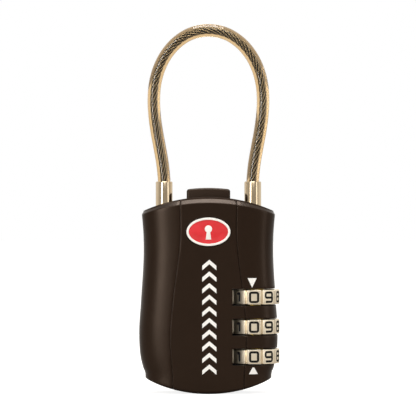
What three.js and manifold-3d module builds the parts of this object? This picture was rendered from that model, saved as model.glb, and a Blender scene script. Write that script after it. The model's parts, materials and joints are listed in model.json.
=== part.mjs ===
// A three-dial cable luggage lock: two case shells, a steel cable loop with a fixed and a free ferrule,
// a release button over a sliding gate bar, three dials on clutch sleeves, and an override key cylinder.
// Millimetres. +Z is up, -Y is the front, +X is the dial side, and z = 0 is the case's lowest point.

import * as THREE from "three";
import { mergeVertices } from "three/addons/utils/BufferGeometryUtils.js";
import Module from "manifold-3d";

const wasm = await Module();
wasm.setup();

// ---------------------------------------------------------------- driving dimensions

const CASE = {
  topZ: 44.5, // top of the crown at the middle
  shoulderZ: 41.45, // where the crown meets the sides
  footZ: 3.6, // where the curved base meets the sides
  halfWidth: 15.05, // at the shoulder
  halfDepth: 6.4,
  squareness: 3.2, // exponent of the oval cross-section
  panelHalfDepth: 6.45, // the flat middle panel stands a little proud
  edgeBevel: 0.8,
  partingGap: 0.05, // each shell stops this far from the middle plane
};
// The waisted side outline, from base to top: [half width, height].
const SIDE = [[14.3, -1], [14.5, 4], [15.5, 8.5], [15.78, 14], [15.35, 21], [14.75, 32], [15.1, 42], [15.5, 47]];
// The crease that bounds the raised middle panel: [half width, height].
const CREASE = [[7.9, -1], [8.0, 4], [8.5, 13], [7.9, 21], [6.3, 35], [6.5, 47]];

const DIAL = {
  x: 10.3, // axis of the dial stack
  firstZ: 8.37,
  pitch: 6.73,
  count: 3,
  height: 3.3,
  facets: 10,
  apothem: 5.72,
  facetHalfAngle: 14.8, // degrees; the rest of each 36 degrees is the groove
  grooveRadius: 5.35,
  boreRadius: 3.75,
  clutchRadius: 2.75,
  clutchHeight: 1.25,
};
const WINDOW = { leftX: 5.4, height: 3.8, pocketRadius: 6.2 };
const SLEEVE = {
  bore: 1.1,
  hubRadius: 2.35,
  neckRadius: 1.75,
  toothRadius: 3.3,
  toothHeight: 0.9,
  flangeRadius: 3.9,
  flangeLow: 2.05, // above the dial's middle
  flangeHigh: 2.95,
  top: 5.05,
  bottom: -1.5,
};
const SPINDLE = { radius: 0.95, lowZ: 2.9, collarZ: 5.95, collarTop: 6.75, collarRadius: 2.0, clipZ: 27.1, topZ: 29.6 };

const CABLE = { jacketRadius: 1.45, jacketBore: 0.9, coreRadius: 0.6, endZ: 45.0, coreEndZ: 42.6 };
// The cable's centreline from the ferrule to the top of the loop: [distance from the middle, height].
const ROUTE = [
  [10.1, 48.2], [10.45, 52.0], [11.1, 55.8], [11.8, 59.6], [12.3, 63.4], [12.45, 67.0],
  [12.1, 70.7], [11.2, 73.9], [9.6, 77.0], [7.2, 79.75], [4.0, 81.75], [0, 82.5],
];
const FERRULE = {
  x: 10.1,
  radius: 1.95,
  topZ: 48.1,
  rimChamfer: 0.25,
  socketRadius: 1.75,
  socketZ: 44.7,
  coreBore: 0.9,
  coreBoreZ: 42.3,
  clearance: 0.2,
  freeTipZ: 33.6,
  neckLow: 37.6,
  neckHigh: 39.0,
  neckRadius: 1.25,
  fixedEndZ: 34.5,
  fixedHeadZ: 36.0,
  fixedHeadRadius: 2.7,
};

const BUTTON = { halfWidth: 4.95, halfDepth: 2.75, topZ: 46.6, corner: 0.8, lipZ: 40.6, lipTop: 41.8, lip: 0.6, gap: 0.2 };
const SLIDER = { topZ: 40.3, lowZ: 38.9, barX: 2.1, barRight: 3.9, barHalf: 0.6, fingerTip: 7.4, fingerHalf: 0.4 };
const CATCH = { leftX: -6.1, thick: 0.5, halfWidth: 1.5, footZ: 24.2, hookLow: 38.1, hookTipX: -8.7 };
const KEY = {
  x: -7.9,
  plugRadius: 2.7,
  plugLow: 2.0,
  plugTop: 12.0,
  bore: 2.85,
  sleeveRadius: 3.5,
  wayWidth: 0.9,
  wayHalfLength: 1.9,
  tailRadius: 0.6,
  tailTop: 31.4,
  lobeLength: 2.3,
  lobeLow: 29.9,
};
const WAFER = { count: 4, firstZ: 3.8, pitch: 1.75, thick: 0.7, halfLength: 2.2, halfWidth: 1.0 };
// The detent leaf stands behind the dials: its direction from their axis in degrees, and distances from that axis.
const DETENT = { angle: 144, slotRadius: 7.0, stripRadius: 6.85, tipRadius: 5.55, thick: 0.35 };
const BADGE = { z: 36.65, halfWidth: 4.95, halfHeight: 3.2, rim: 0.55, pocketGap: 0.35, pocketDepth: 0.7 };
// Case pins, from just behind the front face to just under the rear one: [x, z, end of the pin on the rear side].
const PIN = {
  radius: 0.9,
  clearance: 0.15,
  startY: -3.2,
  places: [[-11.6, 20.5, 5.1], [0.2, 3.6, 6.2], [6.6, 31.5, 6.1], [-1.0, 24.5, 6.2]],
};

const dialZ = (i) => DIAL.firstZ + DIAL.pitch * i;
const rad = THREE.MathUtils.degToRad;

// ---------------------------------------------------------------- finishes

const finish = (color, roughness, metalness) => new THREE.MeshStandardMaterial({ color, roughness, metalness });
const FINISH = {
  casing: finish(0x2c2219, 0.38, 0),
  button: finish(0x2c2219, 0.45, 0),
  nickel: finish(0xcbbb9c, 0.3, 1),
  steel: finish(0x9d917a, 0.35, 1),
  brass: finish(0xb39b5c, 0.35, 1),
  springSteel: finish(0x8c8c8c, 0.35, 1),
  jacket: finish(0xd9b98f, 0.15, 0),
  enamelWhite: finish(0xf7f5f0, 0.35, 0),
  enamelRed: finish(0xd6322c, 0.15, 0),
};

// ---------------------------------------------------------------- solids

function solid(geometry) {
  const bare = geometry.index ? geometry.toNonIndexed() : geometry.clone();
  bare.deleteAttribute("normal");
  bare.deleteAttribute("uv");
  const merged = mergeVertices(bare, 1e-4);
  return new wasm.Manifold(
    new wasm.Mesh({
      numProp: 3,
      vertProperties: merged.attributes.position.array,
      triVerts: new Uint32Array(merged.index.array),
    }),
  );
}

function geometryOf(manifold) {
  const mesh = manifold.getMesh();
  const geometry = new THREE.BufferGeometry();
  geometry.setAttribute("position", new THREE.BufferAttribute(mesh.vertProperties, 3));
  geometry.setIndex(new THREE.BufferAttribute(mesh.triVerts, 1));
  geometry.computeVertexNormals();
  return geometry;
}

const united = (...solids) => solids.reduce((whole, next) => whole.add(next));
const cut = (whole, ...tools) => tools.reduce((left, tool) => left.subtract(tool), whole);

function box(x0, x1, y0, y1, z0, z1) {
  const geometry = new THREE.BoxGeometry(x1 - x0, y1 - y0, z1 - z0);
  return solid(geometry.translate((x0 + x1) / 2, (y0 + y1) / 2, (z0 + z1) / 2));
}

// An upright round bar, or a cone when the top radius differs.
function rod(radius, z0, z1, x = 0, sides = 22, topRadius = radius) {
  const geometry = new THREE.CylinderGeometry(topRadius, radius, z1 - z0, sides);
  return solid(geometry.rotateX(Math.PI / 2).translate(x, 0, (z0 + z1) / 2));
}

// A flat shape drawn in X and Y, raised from z0 to z1.
function prism(shape, z0, z1, curveSegments = 12) {
  const geometry = new THREE.ExtrudeGeometry(shape, { depth: z1 - z0, bevelEnabled: false, curveSegments });
  return solid(geometry.translate(0, 0, z0));
}

// A flat shape drawn in X and Z, with its thickness from y0 to y1.
function plate(shape, y0, y1, curveSegments = 12, bevel = 0) {
  const geometry = new THREE.ExtrudeGeometry(shape, {
    depth: y1 - y0 - 2 * bevel,
    bevelEnabled: bevel > 0,
    bevelThickness: bevel,
    bevelSize: bevel,
    bevelOffset: -bevel,
    bevelSegments: 1,
    curveSegments,
  });
  return solid(geometry.rotateX(Math.PI / 2).translate(0, y1 - bevel, 0));
}

function ellipse(x, z, halfWidth, halfHeight) {
  return new THREE.Shape().absellipse(x, z, halfWidth, halfHeight, 0, 2 * Math.PI);
}

class Helix extends THREE.Curve {
  constructor(x, radius, z0, z1, turns) {
    super();
    Object.assign(this, { x, radius, z0, z1, turns });
  }
  getPoint(t, target = new THREE.Vector3()) {
    const a = 2 * Math.PI * this.turns * t;
    return target.set(this.x + this.radius * Math.cos(a), this.radius * Math.sin(a), this.z0 + (this.z1 - this.z0) * t);
  }
}

function coilSpring(x, radius, z0, z1, turns, wire = 0.22) {
  const section = new THREE.Shape().absarc(0, 0, wire, 0, 2 * Math.PI);
  const path = new Helix(x, radius, z0 + wire, z1 - wire, turns);
  return solid(
    new THREE.ExtrudeGeometry(section, { steps: Math.round(turns * 10), curveSegments: 2, extrudePath: path }),
  );
}

// ---------------------------------------------------------------- case

const spline = (points) => new THREE.SplineCurve(points.map(([w, z]) => new THREE.Vector2(w, z)));

// The case's outer form with no crown or base: oval cross-sections that follow the waisted side outline.
function waistedColumn() {
  const levels = 16;
  const side = spline(SIDE);
  const column = new THREE.CylinderGeometry(1, 1, 1, 44, levels).rotateX(Math.PI / 2);
  const at = column.attributes.position;
  const power = 2 / CASE.squareness;
  const oval = (v) => Math.sign(v) * Math.abs(v) ** power;
  for (let i = 0; i < at.count; i++) {
    const level = side.getPoint(at.getZ(i) + 0.5);
    const centre = Math.hypot(at.getX(i), at.getY(i)) < 0.5;
    const x = centre ? 0 : level.x * oval(at.getX(i));
    const y = centre ? 0 : CASE.halfDepth * oval(at.getY(i));
    at.setXYZ(i, x, y, level.y);
  }
  return solid(column);
}

function middlePanel() {
  const right = spline(CREASE).getPoints(16);
  const left = right.map((p) => new THREE.Vector2(-p.x, p.y)).reverse();
  return plate(new THREE.Shape([...right, ...left]), -CASE.panelHalfDepth, CASE.panelHalfDepth);
}

// Radius of a shallow arc from its rise at a given half width.
const arcRadius = (half, rise) => (half * half + rise * rise) / (2 * rise);

// Everything between the curved base and the crown, with the front and back edges bevelled.
function crownAndBase() {
  const reach = CASE.halfWidth + 3;
  const crown = arcRadius(CASE.halfWidth, CASE.topZ - CASE.shoulderZ);
  const base = arcRadius(CASE.halfWidth, CASE.footZ);
  const crownAngle = Math.asin(reach / crown);
  const baseAngle = Math.asin(reach / base);
  const outline = new THREE.Shape();
  outline.absarc(0, CASE.topZ - crown, crown, Math.PI / 2 - crownAngle, Math.PI / 2 + crownAngle);
  outline.absarc(0, base, base, 1.5 * Math.PI - baseAngle, 1.5 * Math.PI + baseAngle);
  return plate(outline, -CASE.panelHalfDepth, CASE.panelHalfDepth, 26, CASE.edgeBevel);
}

function wholeCase() {
  return united(waistedColumn(), middlePanel()).intersect(crownAndBase());
}

function dialBay() {
  const bay = [rod(SLEEVE.flangeRadius + 0.3, 5.7, 27.9, DIAL.x), rod(SPINDLE.radius + 0.2, -1, 6, DIAL.x, 20)];
  bay.push(rod(1.9, 27.8, 31.6, DIAL.x, 20));
  for (let i = 0; i < DIAL.count; i++) {
    const low = dialZ(i) - WINDOW.height / 2;
    const high = dialZ(i) + WINDOW.height / 2;
    bay.push(rod(WINDOW.pocketRadius, low, high, DIAL.x, 40));
    bay.push(box(WINDOW.leftX, 20, -9, 9, low, high));
  }
  return bay;
}

function ferruleBores() {
  const wide = FERRULE.radius + FERRULE.clearance;
  return [
    rod(wide, 27.9, 50, -FERRULE.x),
    rod(wide, FERRULE.fixedEndZ - 0.2, 50, FERRULE.x),
    rod(FERRULE.fixedHeadRadius + 0.25, FERRULE.fixedEndZ - 0.2, FERRULE.fixedHeadZ + 0.2, FERRULE.x),
    box(-9.6, CATCH.leftX + 1.7, -1.8, 1.8, 37.2, 39.4),
  ];
}

function mechanismBay() {
  const { halfWidth, halfDepth, lip, gap } = BUTTON;
  return [
    box(-halfWidth - gap, halfWidth + gap, -halfDepth - gap, halfDepth + gap, 41.9, 50),
    box(-halfWidth - lip - 0.3, halfWidth + lip + 0.3, -3.75, 3.75, 38.2, 42.0),
    box(-7.9, 4.2, -3.75, 3.75, 36.0, 38.3),
    box(-3.6, 4.2, -3.75, 3.75, 30.9, 36.1),
    box(-8.9, -3.5, -3.75, 3.75, 28.9, 36.1),
    box(SLIDER.barX - 0.3, SLIDER.barRight + 0.3, -0.9, 0.9, 9.0, 38.3),
    box(SLIDER.barX, DIAL.x, -0.9, 0.9, 9.0, 27.0),
    box(CATCH.leftX - 0.9, CATCH.leftX + 1.7, -1.8, 1.8, 26.2, 29),
    box(CATCH.leftX - 0.3, CATCH.leftX + CATCH.thick + 0.3, -1.8, 1.8, CATCH.footZ - 0.2, 26.3),
    rod(KEY.tailRadius + 0.3, 11, 29, KEY.x, 16),
    rod(KEY.sleeveRadius + 0.2, 2.6, 13.6, KEY.x),
    rod(KEY.bore, -1, 2.7, KEY.x),
  ];
}

function detentSlot() {
  return turnedAboutDials(box(-1.0, 0.55, -1.5, 1.5, 5.8, 27.2), DETENT.slotRadius);
}

function shell(front) {
  const far = 12;
  const half = front ? box(-30, 30, -far, -CASE.partingGap, -5, 60) : box(-30, 30, CASE.partingGap, far, -5, 60);
  let body = wholeCase().intersect(half);
  body = cut(body, ...dialBay(), ...ferruleBores(), ...mechanismBay());
  body = cut(body, ...PIN.places.map(pinHole));
  if (front) {
    const pocket = ellipse(0, BADGE.z, BADGE.halfWidth + BADGE.pocketGap, BADGE.halfHeight + BADGE.pocketGap);
    return cut(body, plate(pocket, -9, -CASE.panelHalfDepth + BADGE.pocketDepth, 20));
  }
  return cut(body, detentSlot());
}

const circleShape = (x, z, radius) => ellipse(x, z, radius, radius);
const pinHole = ([x, z]) => plate(circleShape(x, z, PIN.radius + PIN.clearance), PIN.startY - 0.2, 9, 8);
const casePin = ([x, z, endY]) => plate(circleShape(x, z, PIN.radius), PIN.startY, endY, 8);

function badgePlate() {
  const face = -CASE.panelHalfDepth + 0.05;
  return plate(ellipse(0, BADGE.z, BADGE.halfWidth, BADGE.halfHeight), face, face + 0.5, 20);
}

function badgeEnamel() {
  const face = -CASE.panelHalfDepth - 0.12;
  const { halfWidth, halfHeight, rim } = BADGE;
  return plate(ellipse(0, BADGE.z, halfWidth - rim, halfHeight - rim), face, face + 0.16, 20);
}

// ---------------------------------------------------------------- dials and clutch

// Points of a ring of equal features: each entry is [radius, degrees from the feature's middle].
function ringPoints(count, corners, skip = () => false) {
  const points = [];
  for (let k = 0; k < count; k++) {
    for (const [radius, offset, tooth] of corners) {
      const angle = rad((360 / count) * k + offset);
      const reach = tooth && skip(k) ? SLEEVE.hubRadius : radius;
      points.push(new THREE.Vector2(reach * Math.cos(angle), reach * Math.sin(angle)));
    }
  }
  return points;
}

function dialOutline() {
  const reach = DIAL.apothem / Math.cos(rad(DIAL.facetHalfAngle));
  const half = DIAL.facetHalfAngle;
  return ringPoints(DIAL.facets, [[reach, -half], [reach, half], [DIAL.grooveRadius, 18]]);
}

// The facet that shows the chosen digit faces the front, which is -Y.
const facingFront = (manifold) => manifold.rotate([0, 0, -90]);

function dial(i) {
  const low = dialZ(i) - DIAL.height / 2;
  const upper = new THREE.Shape(dialOutline());
  upper.holes.push(new THREE.Path().absarc(0, 0, DIAL.boreRadius, 0, 2 * Math.PI));
  const lower = new THREE.Shape(dialOutline());
  const notch = [[DIAL.clutchRadius, -11], [3.5, -9], [3.5, 9], [DIAL.clutchRadius, 11]];
  lower.holes.push(new THREE.Path(ringPoints(DIAL.facets, notch)));
  const ring = united(prism(lower, low, low + DIAL.clutchHeight), prism(upper, low + DIAL.clutchHeight, low + DIAL.height));
  return facingFront(ring).translate([DIAL.x, 0, 0]);
}

// A clutch sleeve: ten low teeth lock it to its dial, and nine flange teeth block the gate bar's finger.
// The tenth is missing, which is the gate. At rest the gate faces the finger, at -X.
function clutchSleeve(i) {
  const z = dialZ(i);
  const clutch = [[SLEEVE.hubRadius, -9], [SLEEVE.toothRadius, -6], [SLEEVE.toothRadius, 6], [SLEEVE.hubRadius, 9]];
  const flange = [
    [SLEEVE.hubRadius, -8],
    [SLEEVE.flangeRadius, -6, true],
    [SLEEVE.flangeRadius, 6, true],
    [SLEEVE.hubRadius, 8],
  ];
  const teeth = facingFront(prism(new THREE.Shape(ringPoints(10, clutch)), z + SLEEVE.bottom, z + SLEEVE.bottom + SLEEVE.toothHeight));
  const gates = prism(new THREE.Shape(ringPoints(10, flange, (k) => k === 5)), z + SLEEVE.flangeLow, z + SLEEVE.flangeHigh);
  const hub = rod(SLEEVE.hubRadius, z + SLEEVE.bottom, z + SLEEVE.flangeHigh, 0, 20);
  const neck = rod(SLEEVE.neckRadius, z + SLEEVE.flangeHigh - 0.1, z + SLEEVE.top, 0, 14);
  const bore = rod(SLEEVE.bore, z - 5, z + 8, 0, 14);
  return cut(united(hub, neck, teeth, gates), bore).translate([DIAL.x, 0, 0]);
}

// The spindle carries the sleeves. Pushing its lower end up frees them from the dials, to set a new code.
function spindle() {
  const { radius, lowZ, collarZ, collarTop, collarRadius, topZ } = SPINDLE;
  const groove = cut(rod(2, 27.0, 27.6, DIAL.x, 16), rod(0.7, 26, 28, DIAL.x, 16));
  const shaft = cut(rod(radius, lowZ, topZ, DIAL.x, 16), groove);
  return united(shaft, rod(collarRadius, collarZ, collarTop, DIAL.x, 20));
}

function spindleClip() {
  const ring = rod(1.6, SPINDLE.clipZ, SPINDLE.clipZ + 0.4, DIAL.x, 20);
  const throat = box(DIAL.x, DIAL.x + 3, -0.75, 0.75, 26, 29);
  return cut(ring, rod(0.85, 26, 29, DIAL.x, 16), throat);
}

// Moves a piece drawn at the origin out along the detent's direction from the dial axis.
function turnedAboutDials(manifold, radius) {
  const a = rad(DETENT.angle);
  return manifold
    .rotate([0, 0, DETENT.angle])
    .translate([DIAL.x + radius * Math.cos(a), radius * Math.sin(a), 0]);
}

// One strip of spring steel behind the dials, with a pressed tip that drops into a groove of each dial.
function detentSpring() {
  const { thick, stripRadius, tipRadius } = DETENT;
  const reach = stripRadius - tipRadius;
  const parts = [box(0, thick, -1.3, 1.3, 6.2, 26.8)];
  for (let i = 0; i < DIAL.count; i++) {
    const tip = new THREE.Shape([
      new THREE.Vector2(thick / 2, -1.0),
      new THREE.Vector2(thick / 2, 1.0),
      new THREE.Vector2(-reach, 0.12),
      new THREE.Vector2(-reach, -0.12),
    ]);
    parts.push(prism(tip, dialZ(i) - 0.9, dialZ(i) + 0.9));
  }
  return turnedAboutDials(united(...parts), stripRadius);
}

// ---------------------------------------------------------------- cable and ferrules

// The whole centreline, straight into each ferrule and mirrored over the top of the loop.
function cablePath(endZ) {
  const right = [[FERRULE.x, endZ], ...ROUTE].map(([x, z]) => new THREE.Vector3(x, 0, z));
  const left = right.slice(0, -1).map((p) => new THREE.Vector3(-p.x, 0, p.z));
  return new THREE.CatmullRomCurve3([...left, ...right.reverse()], false, "centripetal");
}

function tube(radius, bore, endZ) {
  const section = new THREE.Shape().absarc(0, 0, radius, 0, 2 * Math.PI);
  if (bore) section.holes.push(new THREE.Path().absarc(0, 0, bore, 0, 2 * Math.PI));
  return solid(new THREE.ExtrudeGeometry(section, { steps: 36, curveSegments: 4, extrudePath: cablePath(endZ) }));
}

function ferruleBlank(lowZ) {
  const { radius, topZ, rimChamfer } = FERRULE;
  return united(
    rod(radius, lowZ, topZ - rimChamfer),
    rod(radius, topZ - rimChamfer, topZ, 0, 22, radius - rimChamfer),
  );
}

const sockets = () => [
  rod(FERRULE.socketRadius, FERRULE.socketZ, 50),
  rod(FERRULE.coreBore, FERRULE.coreBoreZ, 50, 0, 16),
];

// The free ferrule has a coned tip and a neck for the catch.
function freeFerrule() {
  const { radius, freeTipZ, neckLow, neckHigh, neckRadius, x } = FERRULE;
  const neck = cut(rod(radius + 1, neckLow, neckHigh), rod(neckRadius, neckLow - 1, neckHigh + 1));
  const body = united(ferruleBlank(freeTipZ + 1), rod(radius - 0.9, freeTipZ, freeTipZ + 1, 0, 22, radius));
  return cut(body, neck, ...sockets()).translate([-x, 0, 0]);
}

function fixedFerrule() {
  const { fixedEndZ, fixedHeadZ, fixedHeadRadius, x } = FERRULE;
  const body = united(ferruleBlank(fixedEndZ), rod(fixedHeadRadius, fixedEndZ, fixedHeadZ));
  return cut(body, ...sockets()).translate([x, 0, 0]);
}

// ---------------------------------------------------------------- button, gate bar and catch

// The button's front outline: square corners rounded, and a crown that follows the case.
function releaseButton() {
  const { halfWidth, halfDepth, topZ, corner, lipZ, lipTop, lip } = BUTTON;
  const outline = new THREE.Shape();
  const sideTop = topZ - 0.35;
  outline.moveTo(-halfWidth, lipTop - 0.1);
  outline.lineTo(halfWidth, lipTop - 0.1);
  outline.lineTo(halfWidth, sideTop - corner);
  outline.quadraticCurveTo(halfWidth, sideTop, halfWidth - corner, sideTop);
  outline.quadraticCurveTo(0, 2 * topZ - sideTop, -halfWidth + corner, sideTop);
  outline.quadraticCurveTo(-halfWidth, sideTop, -halfWidth, sideTop - corner);
  const cap = plate(outline, -halfDepth, halfDepth, 8);
  return united(cap, box(-halfWidth - lip, halfWidth + lip, -halfDepth - lip, halfDepth + lip, lipZ, lipTop));
}

// The gate bar: the button pushes it down, one finger passes each sleeve's gate, and its cam slot draws the
// catch out of the free ferrule's neck.
function gateBar() {
  const { topZ, lowZ, barX, barRight, barHalf, fingerTip, fingerHalf } = SLIDER;
  const parts = [
    box(-4.4, barRight, -2.8, 2.8, lowZ, topZ),
    box(barX, barRight, -barHalf, barHalf, dialZ(0) + 3.3, topZ - 0.2),
    box(-5.4, -3.9, 2.1, 2.8, 37.0, topZ),
    box(-7.0, -3.9, 2.1, 2.8, 33.4, 37.9),
  ];
  for (let i = 0; i < DIAL.count; i++) {
    parts.push(box(barX + 0.3, fingerTip, -fingerHalf, fingerHalf, dialZ(i) + 3.3, dialZ(i) + 4.1));
  }
  const camSlot = new THREE.Shape([
    new THREE.Vector2(-6.3, 34.3),
    new THREE.Vector2(-4.5, 34.3),
    new THREE.Vector2(-4.4, 37.1),
    new THREE.Vector2(-5.3, 37.1),
    new THREE.Vector2(-5.3, 36.5),
    new THREE.Vector2(-6.3, 35.3),
  ]);
  return cut(united(...parts), plate(camSlot, 1, 4));
}

// A spring-steel blade held at its foot. Its hook sits in the free ferrule's neck, and its ear in the cam slot.
function cableCatch() {
  const { leftX, thick, halfWidth, footZ, hookLow, hookTipX } = CATCH;
  const top = hookLow + thick;
  return united(
    box(leftX, leftX + thick, -halfWidth, halfWidth, footZ, top),
    box(hookTipX, leftX + thick, -halfWidth, halfWidth, hookLow, top),
    box(leftX, leftX + thick, halfWidth - 0.1, 3.3, 34.6, 35.2),
  );
}

// ---------------------------------------------------------------- override key cylinder

const waferZ = (i) => WAFER.firstZ + WAFER.pitch * i;

function keySleeve() {
  return cut(rod(KEY.sleeveRadius, 2.8, 12.2, KEY.x), rod(KEY.bore, 0, 14, KEY.x));
}

function keyPlug() {
  const { x, plugRadius, plugLow, plugTop, wayWidth, wayHalfLength } = KEY;
  const way = box(x - wayWidth / 2, x + wayWidth / 2, -wayHalfLength, wayHalfLength, 0, 10.4);
  const ward = box(x - wayWidth / 2 - 0.35, x, -0.7, 0.2, 0, 10.4);
  const slots = [];
  for (let i = 0; i < WAFER.count; i++) {
    const z = waferZ(i);
    slots.push(box(x - WAFER.halfWidth - 0.15, x + WAFER.halfWidth + 0.15, -4, 4, z - 0.15, z + WAFER.thick + 0.15));
  }
  const tailSocket = box(x - 0.75, x + 0.75, -1.35, 1.35, 11, 13);
  return cut(rod(plugRadius, plugLow, plugTop, x), way, ward, ...slots, tailSocket);
}

function wafer(i) {
  const { x, wayWidth, wayHalfLength } = KEY;
  const z = waferZ(i);
  const body = box(x - WAFER.halfWidth, x + WAFER.halfWidth, -WAFER.halfLength, WAFER.halfLength, z, z + WAFER.thick);
  const bitting = [0.3, 0, 0.45, 0.15][i];
  const way = box(x - wayWidth / 2 - 0.1, x + wayWidth / 2 + 0.1, -wayHalfLength + bitting, wayHalfLength - 0.1, z - 1, z + 2);
  return cut(body, way);
}

// The tail turns with the plug. Its lobe points to the front at rest and pushes the catch aside at a quarter turn.
function keyTail() {
  const { x, tailRadius, tailTop, lobeLength, lobeLow } = KEY;
  const blade = box(x - 0.6, x + 0.6, -1.2, 1.2, 11.15, 12.6);
  const stop = rod(2.4, 12.4, 13.2, x, 20);
  const lobe = box(x - 0.55, x + 0.55, -lobeLength, 0, lobeLow, tailTop - 0.2);
  return united(blade, stop, rod(tailRadius, 12.5, tailTop, x, 16), lobe);
}

// ---------------------------------------------------------------- assembly

const lock = new THREE.Group();
lock.name = "cable_luggage_lock";

function add(name, manifold, material) {
  const mesh = new THREE.Mesh(geometryOf(manifold), material);
  mesh.name = name;
  lock.add(mesh);
}

add("front_shell", shell(true), FINISH.casing);
add("rear_shell", shell(false), FINISH.casing);
PIN.places.forEach((place, i) => add(`case_pin_${i + 1}`, casePin(place), FINISH.steel));
add("badge_plate", badgePlate(), FINISH.enamelWhite);
add("badge_enamel", badgeEnamel(), FINISH.enamelRed);

add("cable_jacket", tube(CABLE.jacketRadius, CABLE.jacketBore, CABLE.endZ), FINISH.jacket);
add("cable_core", tube(CABLE.coreRadius, 0, CABLE.coreEndZ), FINISH.steel);
add("fixed_ferrule", fixedFerrule(), FINISH.nickel);
add("free_ferrule", freeFerrule(), FINISH.nickel);
add("ejector_spring", coilSpring(-FERRULE.x, 1.05, 28.1, 33.4, 4), FINISH.springSteel);

add("release_button", releaseButton(), FINISH.button);
add("gate_bar", gateBar(), FINISH.steel);
add("button_spring", coilSpring(-1.2, 1.4, 31.1, 38.7, 5), FINISH.springSteel);
add("cable_catch", cableCatch(), FINISH.springSteel);

for (let i = 0; i < DIAL.count; i++) {
  add(`dial_${i + 1}`, dial(i), FINISH.nickel);
  add(`clutch_sleeve_${i + 1}`, clutchSleeve(i), FINISH.brass);
}
add("spindle", spindle(), FINISH.steel);
add("spindle_clip", spindleClip(), FINISH.springSteel);
add("spindle_spring", coilSpring(DIAL.x, 1.35, 27.7, 31.4, 3), FINISH.springSteel);
add("detent_spring", detentSpring(), FINISH.springSteel);

add("key_sleeve", keySleeve(), FINISH.brass);
add("key_plug", keyPlug(), FINISH.brass);
for (let i = 0; i < WAFER.count; i++) add(`key_wafer_${i + 1}`, wafer(i), FINISH.brass);
add("key_tail", keyTail(), FINISH.steel);

export default lock;
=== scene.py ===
# %% [markdown]
# # A cable luggage lock in Blender
#
# This file takes the plain working model of a small combination lock and gives it its real surfaces: a
# die-cast case with a satin coat, nickel-plated dials with engraved numbers, and a twisted steel cable in a
# clear amber jacket. Each step first says what the piece is and how it could be made, and then makes it.
#
# The working model is loaded as a fixed frame. Every place and size below comes from it.

# %% Load the frame
import json
import math
import bmesh
import bpy
import numpy as np
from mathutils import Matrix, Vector

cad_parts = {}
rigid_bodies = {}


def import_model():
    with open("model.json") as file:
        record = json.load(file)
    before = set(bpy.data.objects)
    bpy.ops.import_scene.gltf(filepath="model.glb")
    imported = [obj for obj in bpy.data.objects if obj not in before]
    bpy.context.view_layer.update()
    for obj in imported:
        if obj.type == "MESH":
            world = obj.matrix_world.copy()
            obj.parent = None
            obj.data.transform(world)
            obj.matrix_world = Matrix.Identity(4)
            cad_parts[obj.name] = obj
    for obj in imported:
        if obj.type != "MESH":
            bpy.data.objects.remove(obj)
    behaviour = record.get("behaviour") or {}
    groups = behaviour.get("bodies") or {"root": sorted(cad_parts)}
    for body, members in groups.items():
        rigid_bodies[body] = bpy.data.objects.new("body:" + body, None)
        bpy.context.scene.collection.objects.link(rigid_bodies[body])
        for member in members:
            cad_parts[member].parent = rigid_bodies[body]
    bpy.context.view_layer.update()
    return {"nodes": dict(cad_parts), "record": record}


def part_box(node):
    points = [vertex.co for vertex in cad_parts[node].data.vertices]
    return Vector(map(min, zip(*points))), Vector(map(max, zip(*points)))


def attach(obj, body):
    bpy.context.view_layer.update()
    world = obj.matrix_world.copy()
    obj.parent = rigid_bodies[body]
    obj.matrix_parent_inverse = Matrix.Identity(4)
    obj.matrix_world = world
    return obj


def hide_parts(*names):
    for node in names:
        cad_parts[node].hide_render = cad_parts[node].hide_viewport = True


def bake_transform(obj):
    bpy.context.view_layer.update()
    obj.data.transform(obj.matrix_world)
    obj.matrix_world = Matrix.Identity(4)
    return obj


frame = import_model()
MM = 0.001
print("nodes in the frame:", len(frame["nodes"]))

# %% [markdown]
# ## The shot
#
# A product shot of something this small is taken straight on, from far away with a long lens, so that the two
# sides of the case stay parallel. The field of view is worked out from the width that the shot has to cover.

# %% Camera
SHOT_WIDTH = 94.85 * MM
SHOT_DISTANCE = 560 * MM
SHOT_HEIGHT = 42.0 * MM

bpy.ops.object.camera_add(location=(-0.1 * MM, -SHOT_DISTANCE, SHOT_HEIGHT), rotation=(math.pi / 2, 0, 0))
camera = bpy.context.active_object
camera.name = "front_camera"
camera.data.lens = camera.data.sensor_width * SHOT_DISTANCE / SHOT_WIDTH
camera.data.clip_start = 0.01
bpy.context.scene.camera = camera
print("lens in mm:", round(camera.data.lens, 1))

# %% [markdown]
# ## Small tools
#
# Operators act on whatever is selected, so one helper clears the selection and picks a single object. Others
# name a new piece, put its place into its mesh, apply modifiers, mend a mesh, and give it a material.

# %% Helpers for selecting, naming and finishing
def pick(piece):
    if bpy.context.mode != "OBJECT":
        bpy.ops.object.mode_set(mode="OBJECT")
    bpy.ops.object.select_all(action="DESELECT")
    piece.select_set(True)
    bpy.context.view_layer.objects.active = piece
    return piece


def settle(piece, name):
    """Names a new piece and moves its place, turn and size into its mesh."""
    pick(piece)
    piece.name = name
    piece.data.name = name
    bpy.ops.object.transform_apply(location=True, rotation=True, scale=True)
    return piece


def apply_modifier(piece, kind, **settings):
    pick(piece)
    modifier = piece.modifiers.new(kind.lower(), kind)
    for key, value in settings.items():
        setattr(modifier, key, value)
    bpy.ops.object.modifier_apply(modifier=modifier.name)
    return piece


def joined(pieces, name):
    pick(pieces[0])
    for piece in pieces:
        piece.select_set(True)
    if len(pieces) > 1:
        bpy.ops.object.join()
    return settle(bpy.context.active_object, name)


def copied(piece, name):
    copy = piece.copy()
    copy.data = piece.data.copy()
    bpy.context.scene.collection.objects.link(copy)
    copy.name = name
    copy.data.name = name
    return copy


def remove(piece):
    bpy.data.objects.remove(piece, do_unlink=True)


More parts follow.
